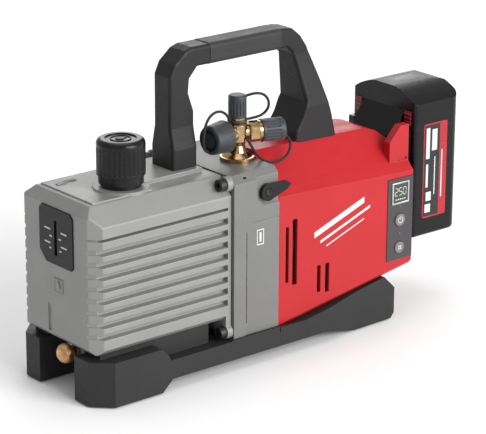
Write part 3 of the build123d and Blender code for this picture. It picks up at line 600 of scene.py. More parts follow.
@dataclass(frozen=True)
class BareMetal:
    """Turned, ground or blackened metal with tool lines and a little tarnish."""

    name: str
    base: Colour
    tarnish: Colour
    roughness: float = 0.28
    lines_per_metre: float = 900.0
    line_axis: str = "X"
    line_depth: float = 0.00003
    metallic: float = 1.0

    def material(self) -> bpy.types.Material:
        """Writes the finish as a material."""
        made = blank_material(self.name)
        tree = made.node_tree
        nodes, links = tree.nodes, tree.links

        coords = nodes.new("ShaderNodeTexCoord")
        coords.label = "Place on the metal"
        stain = nodes.new("ShaderNodeTexNoise")
        stain.label = "Tarnish clouds"
        stain.inputs["Scale"].default_value = 95.0
        stain.inputs["Detail"].default_value = 6.0
        spread = nodes.new("ShaderNodeMapRange")
        spread.label = "Where tarnish settles"
        spread.inputs["From Min"].default_value = 0.42
        spread.inputs["From Max"].default_value = 0.78
        tint = nodes.new("ShaderNodeMix")
        tint.label = "Bright metal and tarnish"
        tint.data_type = "RGBA"
        tint.inputs[6].default_value = self.base
        tint.inputs[7].default_value = self.tarnish

        gloss = nodes.new("ShaderNodeMapRange")
        gloss.label = "Tarnish is duller"
        gloss.inputs["To Min"].default_value = self.roughness
        gloss.inputs["To Max"].default_value = min(1.0, self.roughness + 0.22)

        tool = nodes.new("ShaderNodeTexWave")
        tool.label = "Tool lines"
        tool.bands_direction = self.line_axis
        tool.inputs["Scale"].default_value = self.lines_per_metre
        tool.inputs["Distortion"].default_value = 1.4
        tool.inputs["Detail"].default_value = 2.0
        scratch = nodes.new("ShaderNodeTexNoise")
        scratch.label = "Fine scratches"
        scratch.inputs["Scale"].default_value = 1800.0
        scratch.inputs["Detail"].default_value = 4.0
        relief = nodes.new("ShaderNodeMath")
        relief.label = "Lines and scratches"
        relief.operation = "ADD"
        rounded = nodes.new("ShaderNodeBevel")
        rounded.label = "Broken edges"
        rounded.samples = 6
        rounded.inputs["Radius"].default_value = 0.0004
        bump = nodes.new("ShaderNodeBump")
        bump.label = "Machining relief"
        bump.inputs["Strength"].default_value = 0.30
        bump.inputs["Distance"].default_value = self.line_depth

        shader = nodes.new("ShaderNodeBsdfPrincipled")
        shader.label = "Metal"
        shader.inputs["Metallic"].default_value = self.metallic
        output = nodes.new("ShaderNodeOutputMaterial")
        output.label = "Surface"

        links.new(coords.outputs["Object"], stain.inputs["Vector"])
        links.new(stain.outputs["Fac"], spread.inputs["Value"])
        links.new(spread.outputs["Result"], tint.inputs[0])
        links.new(spread.outputs["Result"], gloss.inputs["Value"])
        links.new(coords.outputs["Object"], tool.inputs["Vector"])
        links.new(coords.outputs["Object"], scratch.inputs["Vector"])
        links.new(tool.outputs["Fac"], relief.inputs[0])
        links.new(scratch.outputs["Fac"], relief.inputs[1])
        links.new(relief.outputs["Value"], bump.inputs["Height"])
        links.new(rounded.outputs["Normal"], bump.inputs["Normal"])
        links.new(tint.outputs[2], shader.inputs["Base Color"])
        links.new(gloss.outputs["Result"], shader.inputs["Roughness"])
        links.new(bump.outputs["Normal"], shader.inputs["Normal"])
        links.new(shader.outputs["BSDF"], output.inputs["Surface"])
        lay_out(tree, {
            "Tarnish": (coords, stain, spread, tint, gloss),
            "Machining": (tool, scratch, relief, rounded, bump),
            "Result": (shader, output),
        })
        return made


@dataclass(frozen=True)
class Patterned:
    """A patterned part: a repeated figure of two colours with relief, over a plain body."""

    name: str
    ground: Colour
    figure: Colour
    cells_per_metre: float
    roughness: float
    metallic: float = 0.0
    stretch: Corner = (1.0, 1.0, 1.0)
    depth: float = 0.0002

    def material(self) -> bpy.types.Material:
        """Writes the finish as a material."""
        made = blank_material(self.name)
        tree = made.node_tree
        nodes, links = tree.nodes, tree.links

        coords = nodes.new("ShaderNodeTexCoord")
        coords.label = "Place on the part"
        spacing = nodes.new("ShaderNodeMapping")
        spacing.label = "Spacing of the pattern"
        spacing.inputs["Scale"].default_value = self.stretch
        figure = nodes.new("ShaderNodeTexVoronoi")
        figure.label = "Strands, tracks or windings"
        figure.feature = "DISTANCE_TO_EDGE"
        figure.inputs["Scale"].default_value = self.cells_per_metre
        figure.inputs["Randomness"].default_value = 0.25
        lines = nodes.new("ShaderNodeMapRange")
        lines.label = "Sharpened figure"
        lines.inputs["From Min"].default_value = 0.04
        lines.inputs["From Max"].default_value = 0.22
        tint = nodes.new("ShaderNodeMix")
        tint.label = "Ground and figure"
        tint.data_type = "RGBA"
        tint.inputs[6].default_value = self.ground
        tint.inputs[7].default_value = self.figure
        dust = nodes.new("ShaderNodeTexNoise")
        dust.label = "Dust and handling"
        dust.inputs["Scale"].default_value = 80.0
        dust.inputs["Detail"].default_value = 5.0
        gloss = nodes.new("ShaderNodeMapRange")
        gloss.label = "Dust dulls the gloss"
        gloss.inputs["To Min"].default_value = max(0.0, self.roughness - 0.1)
        gloss.inputs["To Max"].default_value = self.roughness + 0.15
        bump = nodes.new("ShaderNodeBump")
        bump.label = "Relief of the figure"
        bump.inputs["Strength"].default_value = 0.5
        bump.inputs["Distance"].default_value = self.depth
        shader = nodes.new("ShaderNodeBsdfPrincipled")
        shader.label = "Patterned part"
        shader.inputs["Metallic"].default_value = self.metallic
        output = nodes.new("ShaderNodeOutputMaterial")
        output.label = "Surface"

        links.new(coords.outputs["Object"], spacing.inputs["Vector"])
        links.new(spacing.outputs["Vector"], figure.inputs["Vector"])
        links.new(figure.outputs["Distance"], lines.inputs["Value"])
        links.new(lines.outputs["Result"], tint.inputs[0])
        links.new(coords.outputs["Object"], dust.inputs["Vector"])
        links.new(dust.outputs["Fac"], gloss.inputs["Value"])
        links.new(lines.outputs["Result"], bump.inputs["Height"])
        links.new(tint.outputs[2], shader.inputs["Base Color"])
        links.new(gloss.outputs["Result"], shader.inputs["Roughness"])
        links.new(bump.outputs["Normal"], shader.inputs["Normal"])
        links.new(shader.outputs["BSDF"], output.inputs["Surface"])
        lay_out(tree, {
            "Figure": (coords, spacing, figure, lines, tint),
            "Dust": (dust, gloss),
            "Relief": (bump,),
            "Result": (shader, output),
        })
        return made


@dataclass(frozen=True)
class Glazing:
    """A clear or smoked window with faint streaks."""

    name: str
    tint: Colour
    roughness: float
    transmission: float
    specular: float = 0.5

    def material(self) -> bpy.types.Material:
        """Writes the finish as a material."""
        made = blank_material(self.name)
        tree = made.node_tree
        nodes, links = tree.nodes, tree.links

        coords = nodes.new("ShaderNodeTexCoord")
        coords.label = "Place on the window"
        streaks = nodes.new("ShaderNodeTexNoise")
        streaks.label = "Wiping streaks"
        streaks.inputs["Scale"].default_value = 160.0
        streaks.inputs["Detail"].default_value = 4.0
        smear = nodes.new("ShaderNodeMapRange")
        smear.label = "Streaks scatter a little"
        smear.inputs["To Min"].default_value = self.roughness
        smear.inputs["To Max"].default_value = self.roughness + 0.12
        waves = nodes.new("ShaderNodeTexNoise")
        waves.label = "Moulded waviness"
        waves.inputs["Scale"].default_value = 90.0
        bump = nodes.new("ShaderNodeBump")
        bump.label = "Slight waviness"
        bump.inputs["Strength"].default_value = 0.15
        bump.inputs["Distance"].default_value = 0.00004
        depth = nodes.new("ShaderNodeMix")
        depth.label = "Tint with a deeper tone"
        depth.data_type = "RGBA"
        depth.inputs[6].default_value = self.tint
        depth.inputs[7].default_value = tuple(0.7 * value for value in self.tint[:3]) + (1.0,)
        shader = nodes.new("ShaderNodeBsdfPrincipled")
        shader.label = "Window"
        shader.inputs["Transmission Weight"].default_value = self.transmission
        shader.inputs["Specular IOR Level"].default_value = self.specular
        shader.inputs["Coat Weight"].default_value = 0.4
        output = nodes.new("ShaderNodeOutputMaterial")
        output.label = "Surface"

        links.new(coords.outputs["Object"], streaks.inputs["Vector"])
        links.new(streaks.outputs["Fac"], smear.inputs["Value"])
        links.new(streaks.outputs["Fac"], depth.inputs[0])
        links.new(coords.outputs["Object"], waves.inputs["Vector"])
        links.new(waves.outputs["Fac"], bump.inputs["Height"])
        links.new(depth.outputs[2], shader.inputs["Base Color"])
        links.new(smear.outputs["Result"], shader.inputs["Roughness"])
        links.new(bump.outputs["Normal"], shader.inputs["Normal"])
        links.new(shader.outputs["BSDF"], output.inputs["Surface"])
        lay_out(tree, {
            "Streaks": (coords, streaks, smear, depth),
            "Waviness": (waves, bump),
            "Result": (shader, output),
        })
        return made


def grey(value: float) -> Colour:
    """Returns a neutral colour of one value."""
    return (value, value, value, 1.0)


PAINT = CastPaint("case paint", (0.245, 0.245, 0.238, 1), (0.19, 0.195, 0.19, 1), (0.52, 0.52, 0.51, 1))
FLANGE_PAINT = CastPaint(
    "flange paint", (0.160, 0.160, 0.156, 1), (0.125, 0.127, 0.123, 1), (0.42, 0.42, 0.41, 1)
)
RED = Moulding(
    "red housing plastic", (0.43, 0.010, 0.015, 1), (0.36, 0.007, 0.010, 1), (0.60, 0.08, 0.08, 1),
    roughness=0.40, specular=0.35,
)
BLACK = Moulding("black plastic", grey(0.010), grey(0.007), grey(0.06), roughness=0.34, specular=0.24)
CAP = Moulding("oil cap plastic", grey(0.008), grey(0.005), grey(0.07), roughness=0.24, specular=0.26)
HANDLE = Moulding(
    "handle plastic", (0.018, 0.017, 0.017, 1), grey(0.012), grey(0.09), 0.44, 1100.0, specular=0.24
)
SKID = Moulding("skid plastic", grey(0.026), grey(0.018), grey(0.09), 0.50, 900.0, specular=0.25)
GREY = Moulding(
    "panel plastic", (0.040, 0.036, 0.040, 1), (0.032, 0.029, 0.032, 1), grey(0.12), roughness=0.45
)
PACK = Moulding("battery plastic", grey(0.006), grey(0.004), grey(0.09), 0.26, wear=0.5, specular=0.24)
RUBBER = Moulding(
    "soft rubber", grey(0.014), grey(0.009), grey(0.05), 0.6, 2200.0, sheen=0.1, specular=0.3
)
CAP_RUBBER = Moulding(
    "port cap rubber", (0.026, 0.031, 0.038, 1), (0.016, 0.020, 0.026, 1), grey(0.10), 0.45, sheen=0.1
)
GRIP = Moulding(
    "grip rubber", grey(0.021), grey(0.015), grey(0.07), 0.56, 620.0, 0.00016, sheen=0.1, specular=0.35
)
BUTTON = Moulding("button plastic", grey(0.16), grey(0.12), grey(0.36), roughness=0.4)
LATCH = Moulding("latch plastic", (0.22, 0.006, 0.010, 1), (0.15, 0.004, 0.006, 1), (0.7, 0.1, 0.1, 1), 0.32)
LABEL_RED = Moulding(
    "label red ink", (0.40, 0.008, 0.018, 1), (0.33, 0.005, 0.012, 1), (0.8, 0.2, 0.2, 1),
    0.30, 700.0, 0.00002,
)
LABEL_BLACK = Moulding("label black ink", grey(0.012), grey(0.008), grey(0.06), 0.25, 700.0, 0.00002)
INK = Moulding("pale print", grey(0.62), grey(0.50), grey(0.75), 0.5, 900.0, 0.00002)
LAMP = Moulding("lamp lens", (0.10, 0.11, 0.09, 1), (0.06, 0.07, 0.05, 1), grey(0.3), 0.18, 300.0, 0.00002)
FIGURES = Moulding(
    "display figures", (0.55, 0.70, 0.52, 1), (0.42, 0.56, 0.40, 1), grey(0.8), 0.3, 900.0, 0.00001
)
BRASS = BareMetal("polished brass", (0.50, 0.34, 0.18, 1), (0.22, 0.13, 0.06, 1), 0.14, 700.0, "Z", 0.00002)
KNURLED = BareMetal("knurled brass", (0.66, 0.40, 0.21, 1), (0.36, 0.18, 0.08, 1), 0.30, 260.0, "X", 0.0004)
STEEL = BareMetal("ground steel", (0.60, 0.60, 0.61, 1), (0.40, 0.40, 0.41, 1))
BLACK_STEEL = BareMetal("blackened steel", grey(0.045), grey(0.025), 0.38, metallic=0.7)
SILVER = BareMetal("display frame metal", grey(0.55), grey(0.42), 0.32)
ALUMINIUM = BareMetal("machined aluminium", (0.68, 0.69, 0.70, 1), (0.52, 0.53, 0.54, 1), 0.34)
IRON = BareMetal("machined iron", (0.24, 0.24, 0.25, 1), (0.15, 0.14, 0.14, 1), 0.45)
WIRE = Patterned(
    "wound copper", (0.22, 0.07, 0.03, 1), (0.74, 0.33, 0.16, 1), 900.0, 0.35, 0.8, (0.1, 1.0, 1.0)
)
BOARD = Patterned("circuit board", (0.10, 0.22, 0.10, 1), (0.012, 0.10, 0.035, 1), 420.0, 0.35, depth=0.00005)
WRAP = Patterned("cell wrap", (0.03, 0.12, 0.30, 1), (0.04, 0.20, 0.46, 1), 90.0, 0.30, stretch=(1, 0.2, 1))
MESH = Patterned("woven filter", (0.55, 0.55, 0.52, 1), (0.16, 0.16, 0.15, 1), 1100.0, 0.4, 0.9)
CARBON = Patterned("carbon vane", grey(0.07), grey(0.045), 1500.0, 0.5)
OIL_GLASS = Glazing("sight window", (0.30, 0.24, 0.10, 1), 0.08, 0.55)
SCREEN = Glazing("display glass", (0.030, 0.036, 0.034, 1), 0.10, 0.0)

SLOT_FINISHES = {
    "cast_grey": PAINT, "red_plastic": RED, "black_plastic": BLACK, "grey_plastic": GREY,
    "pack_plastic": PACK, "soft_black": RUBBER, "brass": BRASS, "steel": STEEL,
    "black_steel": BLACK_STEEL, "aluminium": ALUMINIUM, "iron": IRON, "copper_wire": WIRE,
    "clear_window": OIL_GLASS, "screen": SCREEN, "button_grey": BUTTON, "latch_red": LATCH,
    "circuit_green": BOARD, "cell_wrap": WRAP, "filter_mesh": MESH, "carbon": CARBON,
}
NODE_FINISHES = {
    "base_skid": SKID, "handle_frame": HANDLE, "handle_grip": GRIP, "drain_knob": KNURLED,
    "oil_cap": CAP, "pump_flange": FLANGE_PAINT,
    "top_port_cap": CAP_RUBBER, "rear_port_cap": CAP_RUBBER, "front_port_cap": CAP_RUBBER,
}


@dataclass
class Wardrobe:
    """Every material of the pump, made once and handed out."""

    made: dict[str, bpy.types.Material] = field(default_factory=dict)

    def get(self, finish: Moulding | CastPaint | BareMetal | Patterned | Glazing) -> bpy.types.Material:
        """Returns the material of a finish."""
        if finish.name not in self.made:
            self.made[finish.name] = finish.material()
        return self.made[finish.name]

    def dress_frame(self) -> None:
        """Gives every CAD node the finish of its slot, or its own."""
        for part in frame["record"]["subparts"]:
            node = frame["nodes"][part["node"]]
            finish = NODE_FINISHES.get(part["node"], SLOT_FINISHES[part["material_slot"]])
            node.data.materials.clear()
            node.data.materials.append(self.get(finish))


# ---------------------------------------------------------------- studio


@dataclass
class Studio:
    """Camera, soft lights and pale floor."""

    azimuth: float = -39.65
    elevation: float = 18.75
    roll: float = 0.25
    eye: Corner = (-1.2703, -1.5228, 0.7828)
    lens: float = 177.2
    floor_size: float = 12.0

    def add_camera(self) -> None:
        """Adds the camera and makes it the scene's."""
        turn, rise, tip = (math.radians(v) for v in (self.azimuth, self.elevation, self.roll))
        back = Vector((math.sin(turn) * math.cos(rise), -math.cos(turn) * math.cos(rise), math.sin(rise)))
        level = Vector((math.cos(turn), math.sin(turn), 0.0))
        upright = back.cross(level)
        right = level * math.cos(tip) + upright * math.sin(tip)
        up = upright * math.cos(tip) - level * math.sin(tip)
        clear_selection()
        bpy.ops.object.camera_add(location=self.eye)
        camera = bpy.context.object
        camera.rotation_euler = Matrix((right, up, back)).transposed().to_euler()
        camera.data.lens = self.lens
        camera.data.sensor_width = 36.0
        camera.data.sensor_fit = "HORIZONTAL"
        camera.data.clip_start = 0.05
        bpy.context.scene.camera = camera

    def add_area(self, name: str, spot: Corner, size: float, watts: float) -> None:
        """Adds a square lamp that looks at the pump.

        Args:
            name: Name of the lamp.
            spot: Place in metres.
            size: Side in metres.
            watts: Power.
        """
        clear_selection()
        bpy.ops.object.light_add(type="AREA", location=spot)
        lamp = bpy.context.object
        lamp.name = name
        lamp.data.size = size
        lamp.data.energy = watts
        aim = Vector((0.0, 0.0, 0.12)) - Vector(spot)
        lamp.rotation_euler = aim.to_track_quat("-Z", "Y").to_euler()

    def add_lights(self) -> None:
        """Adds a broad key on the lever side, a top light and an even surround."""
        clear_selection()
        bpy.ops.object.light_add(type="SUN", location=(0.6, -2.0, 2.0))
        sun = bpy.context.object
        sun.name = "key"
        sun.data.energy = 2.4
        sun.data.angle = math.radians(38)
        sun.rotation_euler = Vector((-0.18, 0.90, -0.42)).to_track_quat("-Z", "Y").to_euler()
        self.add_area("side_box", (0.9, -2.3, 0.55), 1.4, 26.0)
        self.add_area("top_box", (0.1, 0.3, 2.4), 1.6, 14.0)
        self.add_area("back_box", (1.75, 2.1, 1.35), 1.5, 16.0)
        world = bpy.data.worlds.new("surround")
        world.use_nodes = True
        world.node_tree.nodes["Background"].inputs["Color"].default_value = (1.0, 1.0, 1.0, 1.0)
        world.node_tree.nodes["Background"].inputs["Strength"].default_value = 0.55
        bpy.context.scene.world = world
        bpy.context.scene.view_settings.view_transform = "Standard"

    def add_floor(self) -> None:
        """Adds the pale floor."""
        clear_selection()
        bpy.ops.mesh.primitive_plane_add(size=self.floor_size, location=(0.0, 0.0, -0.0005))
        floor = bpy.context.object
        floor.name = "floor"
        paper = blank_material("floor paper")
        nodes, links = paper.node_tree.nodes, paper.node_tree.links
        shader = nodes.new("ShaderNodeBsdfPrincipled")
        shader.label = "Pale paper"
        shader.inputs["Base Color"].default_value = (0.94, 0.94, 0.94, 1.0)
        shader.inputs["Roughness"].default_value = 0.95
        shader.inputs["Specular IOR Level"].default_value = 0.1
        output = nodes.new("ShaderNodeOutputMaterial")
        output.label = "Surface"
        links.new(shader.outputs["BSDF"], output.inputs["Surface"])
        lay_out(paper.node_tree, {"Paper": (shader, output)})
        floor.data.materials.append(paper)


# ---------------------------------------------------------------- straps of the port caps


@dataclass(frozen=True)
class Strap:
    """One rubber strap: its route beside a side port, and what it joins."""

    name: str
    node: str
    body: str
    length: float
    turn: float  # degrees of the port that the route is measured along
    route: tuple[Corner, ...]  # distance along the port's line, distance sideways, height


TOP_STRAP = Strap("top_strap", "top_cap_tether", "top_cap", 0.051, REAR_TURN, (
    (7.4, 0, 227.4), (13.0, 0.2, 228.6), (18.6, 0.4, 228.8), (24.0, 0.5, 227.2), (27.8, 0.5, 223.2),
    (28.9, 0.3, 217.8), (26.8, 0.1, 212.6), (22.2, 0, 209.2), (16.2, -0.3, 207.6), (8.4, -0.3, 206.8),
))
FRONT_STRAP = Strap("front_strap", "front_cap_tether", "front_cap", 0.069, FRONT_TURN, (
    (-7.8, 0.3, 206.2), (-11.4, -0.4, 211.6), (-16.0, -0.8, 216.2), (-22.2, -1.0, 219.2),
    (-29.0, -1.0, 219.4), (-35.2, -1.0, 216.6), (-39.6, -1.2, 211.2), (-41.8, -1.2, 204.4),
    (-42.4, -1.0, 197.4), (-41.8, -0.8, 192.2), (-39.4, -0.4, 187.4), (-34.2, 0, 185.2),
))
REAR_STRAP = Strap("rear_strap", "rear_cap_tether", "rear_cap", 0.069, REAR_TURN, (
    (6.5, -7.8, 191.0), (9.0, -9.4, 186.4), (11.8, -10.2, 180.8), (15.8, -10.4, 175.6), (21.0, -10.2, 171.2),
    (27.2, -9.6, 168.8), (33.8, -8.6, 168.6), (40.4, -7.2, 170.8), (45.4, -5.2, 175.0), (47.8, -3.0, 180.4),
    (47.4, -1.0, 186.2), (41.8, 0, 190.8),
))


@dataclass
class Intake:
    """Brass intake with its three capped ports, their straps and the caps' raised faces."""

    wardrobe: Wardrobe
    station: float = 180.5
    y: float = -15.0
    port_z: float = 195.5
    thickness: float = 2.4

    def beside(self, turn: float, along: float, sideways: float, z: float) -> Vector:
        """Finds a point beside a side port.

        Args:
            turn: Degrees of the port about the upright.
            along: Distance along the port's line in millimetres, below zero towards the front.
            sideways: Distance sideways in millimetres.
            z: Height in millimetres.

        Returns:
            The point in metres.
        """
        angle = math.radians(turn)
        return place(
            self.station + along * math.cos(angle) - sideways * math.sin(angle),
            self.y + along * math.sin(angle) + sideways * math.cos(angle),
            z,
        )

    def lay_strap(self, strap: Strap) -> None:
        """Args:
            strap: The strap to lay.
        """
        points = [self.beside(strap.turn, *point) for point in strap.route]
        line = bpy.data.curves.new(strap.name, "CURVE")
        line.dimensions = "3D"
        line.resolution_u = 10
        spline = line.splines.new("NURBS")
        spline.points.add(len(points) - 1)
        for control, point in zip(spline.points, points):
            control.co = (*point, 1.0)
        spline.order_u = 3
        spline.use_endpoint_u = True
        piece = bpy.data.objects.new(strap.name, line)
        bpy.context.scene.collection.objects.link(piece)
        bpy.context.view_layer.update()
        followed = bpy.data.meshes.new_from_object(piece)
        path = [tuple(vertex.co) for vertex in followed.vertices]
        walked = sum((Vector(b) - Vector(a)).length for a, b in zip(path, path[1:]))
        LOG.info("%s follows %.1f mm", strap.name, walked / MM)
        line.bevel_depth = self.thickness / 2 * MM
        line.bevel_resolution = 4
        line.use_fill_caps = True
        take(piece)
        bpy.ops.object.convert(target="MESH")
        bpy.ops.object.shade_smooth_by_angle(angle=math.radians(50))
        piece.data.materials.clear()
        piece.data.materials.append(self.wardrobe.get(RUBBER))
        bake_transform(piece)
        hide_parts(strap.node)

    def add_collar(self) -> None:
        """Adds the rubber ring round the upright port that two straps grow from."""
        centre = place(self.station, self.y, 206.6)
        ring = add_rod("strap_collar", centre, 8.6, 2.6, Axis.Z, 48)
        pick_faces(ring, lambda polygon: abs(polygon.normal.z) > 0.9)
        bpy.ops.mesh.inset(thickness=2.0 * MM, depth=0.0)
        bpy.ops.mesh.bridge_edge_loops()
        back_to_objects()
        soften(ring, 0.6, 3)
        dress(ring, self.wardrobe.get(CAP_RUBBER), "root")

    def add_cap_face(self, name: str, body: str, distance: float, radius: float) -> None:
        """Adds the raised ring and boss on the end of a side cap.

        Args:
            name: Name of the piece.
            body: Body of the cap.
            distance: Distance of the cap's face from the upright in millimetres, signed.
            radius: Radius of the raised ring in millimetres.
        """
        turn = REAR_TURN if distance > 0 else FRONT_TURN
        centre = self.beside(turn, distance, 0, self.port_z)
        outward = (centre - self.beside(turn, 0, 0, self.port_z)).normalized()
        clear_selection()
        bpy.ops.mesh.primitive_cylinder_add(
            vertices=48, radius=radius * MM, depth=0.8 * MM, location=centre,
            rotation=outward.to_track_quat("Z", "Y").to_euler(),
        )
        disc = bpy.context.object
        disc.name = disc.data.name = name
        settle(disc)
        push_out(disc, outward, radius * 0.22, -0.5)
        push_out(disc, outward, radius * 0.25, 0.0)
        push_out(disc, outward, 0.0001, 0.0)
        soften(disc, 0.25, 2)
        dress(disc, self.wardrobe.get(CAP_RUBBER), body)

    def build_cords(self) -> None:
        """Lays the three straps."""
        for strap in (TOP_STRAP, FRONT_STRAP, REAR_STRAP):
            self.lay_strap(strap)

    def build(self) -> None:
        """Makes what the CAD nodes of the intake don't carry."""
        self.add_collar()
        self.add_cap_face("front_cap_face", "front_cap", -34.5, 9.0)
        self.add_cap_face("rear_cap_face", "rear_cap", 42.2, 6.6)


# ---------------------------------------------------------------- oil case


@dataclass
class OilCase:
    """Marks of the oil case: level ticks, raised service marks and the mark on the cap."""

    wardrobe: Wardrobe
    slot_y: float = -1.8
    slot_z: float = 136.2
    bezel_front: float = -1.0
    cap: tuple[float, float, float] = (57.5, -14.0, 214.3)

    def add_level_marks(self) -> None:
        """Adds the printed level ticks at both sides of the sight slot."""
        ticks = []
        for y, z, width in (
            (-13.5, 142.6, 8.0), (-13.5, 130.6, 8.0), (9.5, 142.6, 8.0), (9.5, 130.6, 8.0),
            (-8.0, 136.6, 3.4), (5.0, 136.6, 3.4), (-8.6, 126.4, 2.6), (5.6, 126.4, 2.6),
        ):
            tick = add_block(
                "tick", place(self.bezel_front - 0.18, y - width / 2, z - 0.65),
                place(self.bezel_front + HIDDEN_SEAT, y + width / 2, z + 0.65),
            )
            push_out(tick, Vector((-1, 0, 0)), 0.15, 0.05)
            ticks.append(tick)
        marks = join("level_marks", ticks)
        dress(marks, self.wardrobe.get(INK), "root")

    def add_service_marks(self) -> None:
        """Adds the raised service marks on the case's top and front."""
        strips = []
        for station, y, long, wide in ((33.0, 24.5, 11.0, 4.0), (22.5, 22.0, 9.0, 4.0)):
            strip = add_block(
                "strip", place(station - long / 2, y - wide / 2, 172.2 - HIDDEN_SEAT),
                place(station + long / 2, y + wide / 2, 173.0),
            )
            push_out(strip, Vector((0, 0, 1)), 0.7, -0.5)
            soften(strip, 0.25)
            strips.append(strip)
        plate = add_block("front_plate", place(-0.9, -9.5, 88.5), place(HIDDEN_SEAT, 2.5, 101.0))
        push_out(plate, Vector((-1, 0, 0)), 0.9, -0.5)
        soften(plate, 0.3)
        strips.append(plate)
        drop = add_rod("drop", place(-1.0, -3.5, 94.0), 2.4, 1.0, Axis.X, 24)
        pick_faces(drop, facing(Vector((0, 0, 1)), 0.97))
        bpy.ops.transform.translate(value=(0, 0, 3.0 * MM))
        back_to_objects()
        soften(drop, 0.25)
        strips.append(drop)
        dress(join("service_marks", strips), self.wardrobe.get(PAINT), "root")

    def add_cap_mark(self) -> None:
        """Adds the raised ring and drop in the oil cap's dish."""
        station, y, top = self.cap
        ring = add_rod("ring", place(station, y, top - 0.75), 9.0, 0.9, Axis.Z, 48)
        pick_faces(ring, lambda polygon: abs(polygon.normal.z) > 0.9)
        bpy.ops.mesh.inset(thickness=1.1 * MM, depth=0.0)
        bpy.ops.mesh.bridge_edge_loops()
        back_to_objects()
        soften(ring, 0.25)
        drop = add_rod("drop", place(station - 1.0, y, top - 0.75), 3.6, 0.9, Axis.Z, 28)
        pick_faces(drop, facing(Vector((1, 0, 0)), 0.95))
        bpy.ops.transform.translate(value=(3.6 * MM, 0, 0))
        back_to_objects()
        soften(drop, 0.25)
        dress(join("oil_cap_mark", [ring, drop]), self.wardrobe.get(BLACK), "oil_cap")

    def build(self) -> None:
        """Makes every mark of the case."""
        self.add_level_marks()
        self.add_service_marks()
        self.add_cap_mark()


# ---------------------------------------------------------------- flange and valve


@dataclass
class Flange:
    """Screw of the valve lever and the plain badge on each side of the flange."""

    wardrobe: Wardrobe
    pivot: tuple[float, float] = (180.5, 152.5)
    face: float = 55.4
    badge: tuple[float, float] = (172.8, 114.0)

    def add_lever_screw(self) -> None:
        """Adds the socket screw in the hub of the lever."""
        station, z = self.pivot
        outward = Vector((0, -1, 0))
        head = add_rod("lever_screw", place(station, -56.9, z), 3.2, 1.8, Axis.Y, 6)
        pick_faces(head, facing(outward))
        bpy.ops.mesh.inset(thickness=1.1 * MM, depth=0.0)
        bpy.ops.mesh.extrude_region_move(TRANSFORM_OT_translate={"value": outward * -1.1 * MM})
        back_to_objects()
        soften(head, 0.3, 3)
        dress(head, self.wardrobe.get(BLACK_STEEL), "valve")

    def add_badge(self) -> None:
        """Adds the plain badge, once on each side."""
        station, z = self.badge
        y = -self.face
        rim = ring_plate(
            "rim", place(station - 4, y - 0.5, z - 7), place(station + 4, y + HIDDEN_SEAT, z + 7),
            Vector((0, -1, 0)), 1.0,
        )
        bar = add_block(
            "bar", place(station - 1.2, y - 0.5, z - 4.2), place(station + 1.2, y + HIDDEN_SEAT, z + 4.2)
        )
        push_out(bar, Vector((0, -1, 0)), 0.4, 0.1)
        soften(rim, 0.2)
        soften(bar, 0.2)
        badge = join("badge_near", [rim, bar])
        twin = copied(badge, "badge_far", Vector((0, 0, 0)), mirror_y=True)
        for piece in (badge, twin):
            dress(piece, self.wardrobe.get(INK), "root")

    def build(self) -> None:
        """Makes the screw and the badges."""
        self.add_lever_screw()
        self.add_badge()


# ---------------------------------------------------------------- housing and panel


